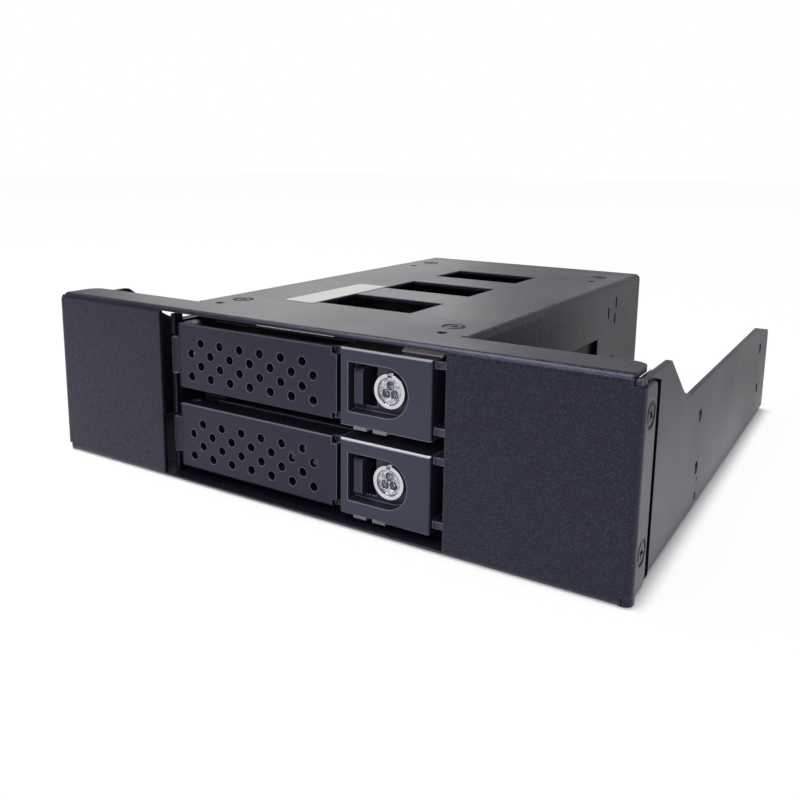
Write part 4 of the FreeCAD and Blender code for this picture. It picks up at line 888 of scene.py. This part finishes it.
# %% Resistors and capacitors
LYING = [(-12.2, 24.6), (-8.6, 24.4), (-5.0, 24.4), (-1.4, 24.6), (-9.6, 35.2), (-6.0, 35.2),
         (-2.4, 35.2), (2.4, 25.0), (16.8, 26.0), (16.8, 34.2), (-8.2, 5.2), (-4.4, 5.2),
         (4.4, 8.2), (12.4, 8.2), (26.8, 9.8), (26.8, 6.8)]
UPRIGHT = [(-11.8, 31.6), (-11.8, 27.6), (0.4, 31.4), (2.4, 31.4), (4.4, 33.6), (18.2, 30.2),
           (-9.2, 12.6), (-6.8, 12.6), (-9.2, 16.4), (23.2, 4.6), (31.0, 17.4), (31.0, 21.2)]
SPAN = 1.2  # from one tinned end to the other
blocks("lying_ends", seated(0.24, *LYING), (0.42, 0.46, 0.82), zinc, 2, (SPAN, 0, 0))
blocks("lying_resistors", seated(0.25, *[(x + SPAN / 2, z) for x, z in LYING]),
       (0.9, 0.44, 0.78), resistor_black)
blocks("upright_ends", seated(0.34, *UPRIGHT), (0.84, 0.66, 0.42), zinc, 2, (0, 0, SPAN))
blocks("upright_ceramics", seated(0.35, *[(x, z + SPAN / 2) for x, z in UPRIGHT]),
       (0.8, 0.66, 0.9), ceramic)
print("small parts on the board:", 3 + len(LYING) + len(UPRIGHT))

# %% [markdown]
# ### The bare sticker
#
# Beside the roof windows lies a narrow silver sticker. It is left blank. Its corners are rounded
# as a punched sticker's are, and it is thin enough to catch light only along its edge. It could be
# a patch of colour on the roof, but a real plate has that edge, and it is only a bevelled cube.


# %% Pieces edited one by one
def keep(name, shape, material):
    """Makes an edited shape a piece of the cage."""
    mesh = bpy.data.meshes.new(name)
    shape.to_mesh(mesh)
    shape.free()
    mesh.materials.append(material)
    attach(placed(name, mesh), "cage")


def plate(name, low, high, corner, material):
    """A flat plate with rounded upright corners; low and high are opposite corners in mm."""
    shape = bmesh.new()
    bmesh.ops.create_cube(shape, size=1.0)
    for vertex in shape.verts:
        for axis in range(3):
            vertex.co[axis] = (high if vertex.co[axis] > 0 else low)[axis] * MM
    upright = [e for e in shape.edges if abs(e.verts[0].co.z - e.verts[1].co.z) > 1e-6]
    bmesh.ops.bevel(shape, geom=upright, offset=corner * MM, segments=4, affect="EDGES",
                    profile=0.5)
    keep(name, shape, material)


# %% Sticker
silver_film = finish("silver_film", shade(166, 164, 160), 0.42, metallic=0.1, tone=0.06,
                     patch=0.006, edge_radius=0.00005, grain_size=0.0006, grain_depth=0.000004,
                     dusty=0.05)
STICKER = (-20.5, FRONT + 23.8, 41.38), (-12.0, FRONT + 56.4, 41.5)
plate("blank_sticker", *STICKER, 0.8, silver_film)
print("sticker, mm:", [round(b - a, 2) for a, b in zip(*STICKER)])

# %% [markdown]
# ### Where the sheets meet
#
# The side walls of the base drop from a tall front to a low rear. The bottom of that drop is a wide
# curve, so a filler with a true arc is set into the corner. The strips of the front fold back over
# the walls, and the shade in the gap behind their cut edge is painted: a near-black slab without
# gloss stands behind each strip as a painted shadow. Small fillers close what the folds leave
# open: a tab and a folded edge at each top corner, and a rounded foot at each bottom corner. The
# walls themselves could be cut anew, but a imported solid is loose triangles that are best left
# alone, so each filler is an outline made into a slab and set against the wall.


# %% Slabs and their outlines
def slab(name, outline, x0, x1, material):
    """An outline in Y and Z, given in millimetres, made into a slab between two X values."""
    shape = bmesh.new()
    near_side = [shape.verts.new((x0 * MM, y * MM, z * MM)) for y, z in outline]
    far_side = [shape.verts.new((x1 * MM, y * MM, z * MM)) for y, z in outline]
    shape.faces.new(near_side)
    shape.faces.new(far_side[::-1])
    for i, corner in enumerate(near_side):
        shape.faces.new((corner, near_side[i - 1], far_side[i - 1], far_side[i]))
    bmesh.ops.recalc_face_normals(shape, faces=shape.faces)
    keep(name, shape, material)


def rectangle(y0, y1, z0, z1):
    """Four corners in Y and Z, with Y counted from the front's face."""
    return [(FRONT + y0, z0), (FRONT + y1, z0), (FRONT + y1, z1), (FRONT + y0, z1)]


def valley_outline(corner, up_slope, radius, steps=14):
    """The area between two edges that meet at a corner and the arc that touches both."""
    slope = Vector(up_slope).normalized()
    half = math.acos(slope.x) / 2
    reach = radius / math.tan(half)
    middle = Vector((math.cos(half), math.sin(half))) * (radius / math.sin(half))
    begin, stop = (math.atan2(v.y, v.x) % math.tau
                   for v in (slope * reach - middle, Vector((reach, 0)) - middle))
    arc = [Vector((math.cos(a), math.sin(a))) * radius + middle
           for a in (begin + (stop - begin) * i / steps for i in range(steps + 1))]
    # the last three corners lie inside the wall, so that no gap shows
    low = [Vector((reach, -0.6)), Vector((-0.3, -0.9)), slope * reach + Vector((-0.5, -0.7))]
    return [(corner[0] + p.x, corner[1] + p.y) for p in arc + low]


VALLEY, UP_SLOPE, VALLEY_RADIUS = (FRONT + 35.5, 29.0), (-15.0, 11.0), 16.0
valley = valley_outline(VALLEY, UP_SLOPE, VALLEY_RADIUS)
print("valley outline, points:", len(valley))

# %% Arc fillers, painted shadows and corners
# near black, with no gloss: a painted shadow for the gap behind each front strip
painted_shadow_black = finish("painted_shadow_slab", shade(8, 8, 11), 0.9, tone=0.05, patch=0.01,
                    edge_radius=0.00005, grain_depth=0.000004, specular=0.0)
shadow_band = rectangle(7.45, 9.9, 2.6, 38.8)
tab = rectangle(0.5, 9.4, 38.6, 40.3)
fold = [(FRONT + 0.4, 39.45), (FRONT + 2.2, 39.45), (FRONT + 2.2, 40.6), (FRONT + 0.9, 40.6)]
for name, s in (("left", -1), ("right", 1)):
    slab(name + "_valley_arc", valley, 72.01 * s, 72.99 * s, base_black)
    # a painted shadow: a near-black slab behind the strip's cut edge
    slab(name + "_strip_painted_shadow", shadow_band, 72.95 * s, 73.92 * s, painted_shadow_black)
    low_x, high_x = sorted((70.6 * s, 73.85 * s))
    plate(name + "_foot_corner", (low_x, FRONT + 0.45, 0.25), (high_x, FRONT + 4.0, 2.6), 1.5,
          coat_black)
    slab(name + "_corner_tab", tab, 72.02 * s, 72.98 * s, base_black)
    slab(name + "_corner_fold", fold, 72.02 * s, 73.6 * s, base_black)
print("fillers and seams:", 2 * 5)

# %% [markdown]
# ## The room
#
# The cage stands on a pale floor in a white room. Both are white to the camera and to rays that
# come from gloss or through glass, and only the lamps and a quiet room light reach the object, so
# that black stays black. In gloss the room is darker high up and in front of the cage than behind
# it, and the floor fades towards the back.

# %% Rays that meet the white room
def white_rays(tree):
    """1 for rays that should meet it: those of the camera, of gloss and through glass."""
    path = add(tree, "ShaderNodeLightPath", (-900, 400))
    one = calc(tree, "MAXIMUM", (-700, 400))
    two = calc(tree, "MAXIMUM", (-500, 400))
    wire(tree, (path, "Is Camera Ray", one, 0), (path, "Is Glossy Ray", one, 1),
         (one, "Value", two, 0), (path, "Is Transmission Ray", two, 1))
    return two


def outside_footprint(tree, half, fade):
    """0 on the floor under the object, rising to 1 a little way outside its footprint."""
    place = add(tree, "ShaderNodeTexCoord", (-1300, 0))
    size = add(tree, "ShaderNodeVectorMath", (-1100, 0), operation="ABSOLUTE")
    less = add(tree, "ShaderNodeVectorMath", (-900, 0), operation="SUBTRACT", in1=(*half, 0))
    kept = add(tree, "ShaderNodeVectorMath", (-700, 0), operation="MAXIMUM")
    length = add(tree, "ShaderNodeVectorMath", (-500, 0), operation="LENGTH")
    rise = ramp(tree, (-300, 0), 0.0, fade, smooth=True)
    wire(tree, (place, "Object", size, 0), (size, "Vector", less, 0), (less, "Vector", kept, 0),
         (kept, "Vector", length, 0), (length, "Value", rise, "Value"))
    return rise


FOOTPRINT, FADE = (0.072, 0.069), 0.005
SHARE_WHITE = 0.96  # the rest of the floor is matt and keeps the object's soft shadow
print("floor fades in over, mm:", FADE / MM)

# %% Floor
bpy.ops.mesh.primitive_plane_add(size=8.0)
floor = bpy.context.object
floor.name = "floor"
floor_paint = bpy.data.materials.new("floor_white")
floor_paint.use_nodes = True
tree = floor_paint.node_tree
tree.nodes.clear()
out = add(tree, "ShaderNodeOutputMaterial", (600, 0))
matt = add(tree, "ShaderNodeBsdfDiffuse", (0, 0), Color=(0.9, 0.9, 0.9, 1))
glow = add(tree, "ShaderNodeEmission", (0, -200), Color=(1, 1, 1, 1), Strength=1.0)
blend = add(tree, "ShaderNodeMixShader", (300, 0))
seen = white_rays(tree)
clear = outside_footprint(tree, FOOTPRINT, FADE)
share = calc(tree, "MULTIPLY", (-100, 150), in1=SHARE_WHITE)
both = calc(tree, "MULTIPLY", (100, 300))
place = add(tree, "ShaderNodeTexCoord", (-900, -300))
ahead = add(tree, "ShaderNodeSeparateXYZ", (-600, -300))
gloss = ramp(tree, (-300, -300), -0.03, 0.13, 1.0, 0.50, smooth=True)
eyes = add(tree, "ShaderNodeLightPath", (-600, -500))
only = add(tree, "ShaderNodeMix", (-100, -300), data_type="FLOAT", in2=1.0)
wire(tree, (clear, "Result", share, 0), (share, "Value", both, 0), (seen, "Value", both, 1),
     (both, "Value", blend, "Fac"), (matt, "BSDF", blend, 1), (glow, "Emission", blend, 2),
     (place, "Object", ahead, "Vector"), (ahead, "Y", gloss, "Value"),
     (eyes, "Is Glossy Ray", only, 0), (gloss, "Result", only, 3), (only, 0, glow, "Strength"),
     (blend, "Shader", out, "Surface"))
floor.data.materials.append(floor_paint)
print("floor ready")

# %% Room
room = bpy.data.worlds.new("white_room")
bpy.context.scene.world = room
room.use_nodes = True
tree = room.node_tree
tree.nodes.clear()
out = add(tree, "ShaderNodeOutputWorld", (900, 0))
quiet = add(tree, "ShaderNodeBackground", (300, 0), Color=(0.95, 0.97, 1.0, 1), Strength=0.55)
white = add(tree, "ShaderNodeBackground", (300, -200), Strength=1.0)
blend = add(tree, "ShaderNodeMixShader", (600, 0))
seen = white_rays(tree)
path = add(tree, "ShaderNodeLightPath", (-900, -400))
towards = add(tree, "ShaderNodeTexCoord", (-900, -100))
split = add(tree, "ShaderNodeSeparateXYZ", (-700, -100))
depth = ramp(tree, (-500, -100), -0.5, 0.3, 0.28, 0.55, smooth=True)
height = ramp(tree, (-500, -350), 0.15, 0.75, 1.0, 0.25, smooth=True)
dimmed = calc(tree, "MULTIPLY", (-400, -200))
level = calc(tree, "MAXIMUM", (-300, -100))
wire(tree, (seen, "Value", blend, "Fac"), (quiet, "Background", blend, 1),
     (white, "Background", blend, 2), (blend, "Shader", out, "Surface"),
     (towards, "Generated", split, "Vector"), (split, "Y", depth, "Value"),
     (split, "Z", height, "Value"), (depth, "Result", dimmed, 0),
     (height, "Result", dimmed, 1), (dimmed, "Value", level, 0),
     (path, "Is Camera Ray", level, 1), (level, "Value", white, "Color"))
print("room ready")

# %% [markdown]
# ## Lamps
#
# Four soft lamps shape the cage: a large one overhead draws the light line along each bend, one at
# the left rear gives the roof its sheen, a small one fills the front, and one above the front
# catches the top edges of the levers and lock blocks.

# %% Lamps
def lamp(name, at, towards, size, power, tint=(1, 1, 1)):
    """A soft lamp: a lit rectangle turned to a point; places and sizes in metres, power in W."""
    light = bpy.data.lights.new(name, "AREA")
    light.shape = "RECTANGLE"
    light.size, light.size_y = size
    light.energy = power
    light.color = tint
    made = placed(name, light)
    made.location = at
    made.rotation_mode = "QUATERNION"
    made.rotation_quaternion = (Vector(towards) - Vector(at)).to_track_quat("-Z", "Y")


lamp("overhead", (-0.25, -0.15, 0.75), (0, 0, 0), (0.5, 0.35), 5.0)
lamp("rear_left", (-0.6, 0.7, 0.45), (0, 0, 0.03), (0.5, 0.4), 1.0, (1.0, 0.97, 0.94))
lamp("front_fill", (0.30, -0.8, 0.42), (0, 0, 0.02), (0.34, 0.14), 1.0, (0.93, 0.96, 1.0))
lamp("edge_light", (-0.27, -0.75, 0.62), (0, -0.05, 0.03), (0.3, 0.12), 2.2)
bpy.context.scene.view_settings.view_transform = "Standard"
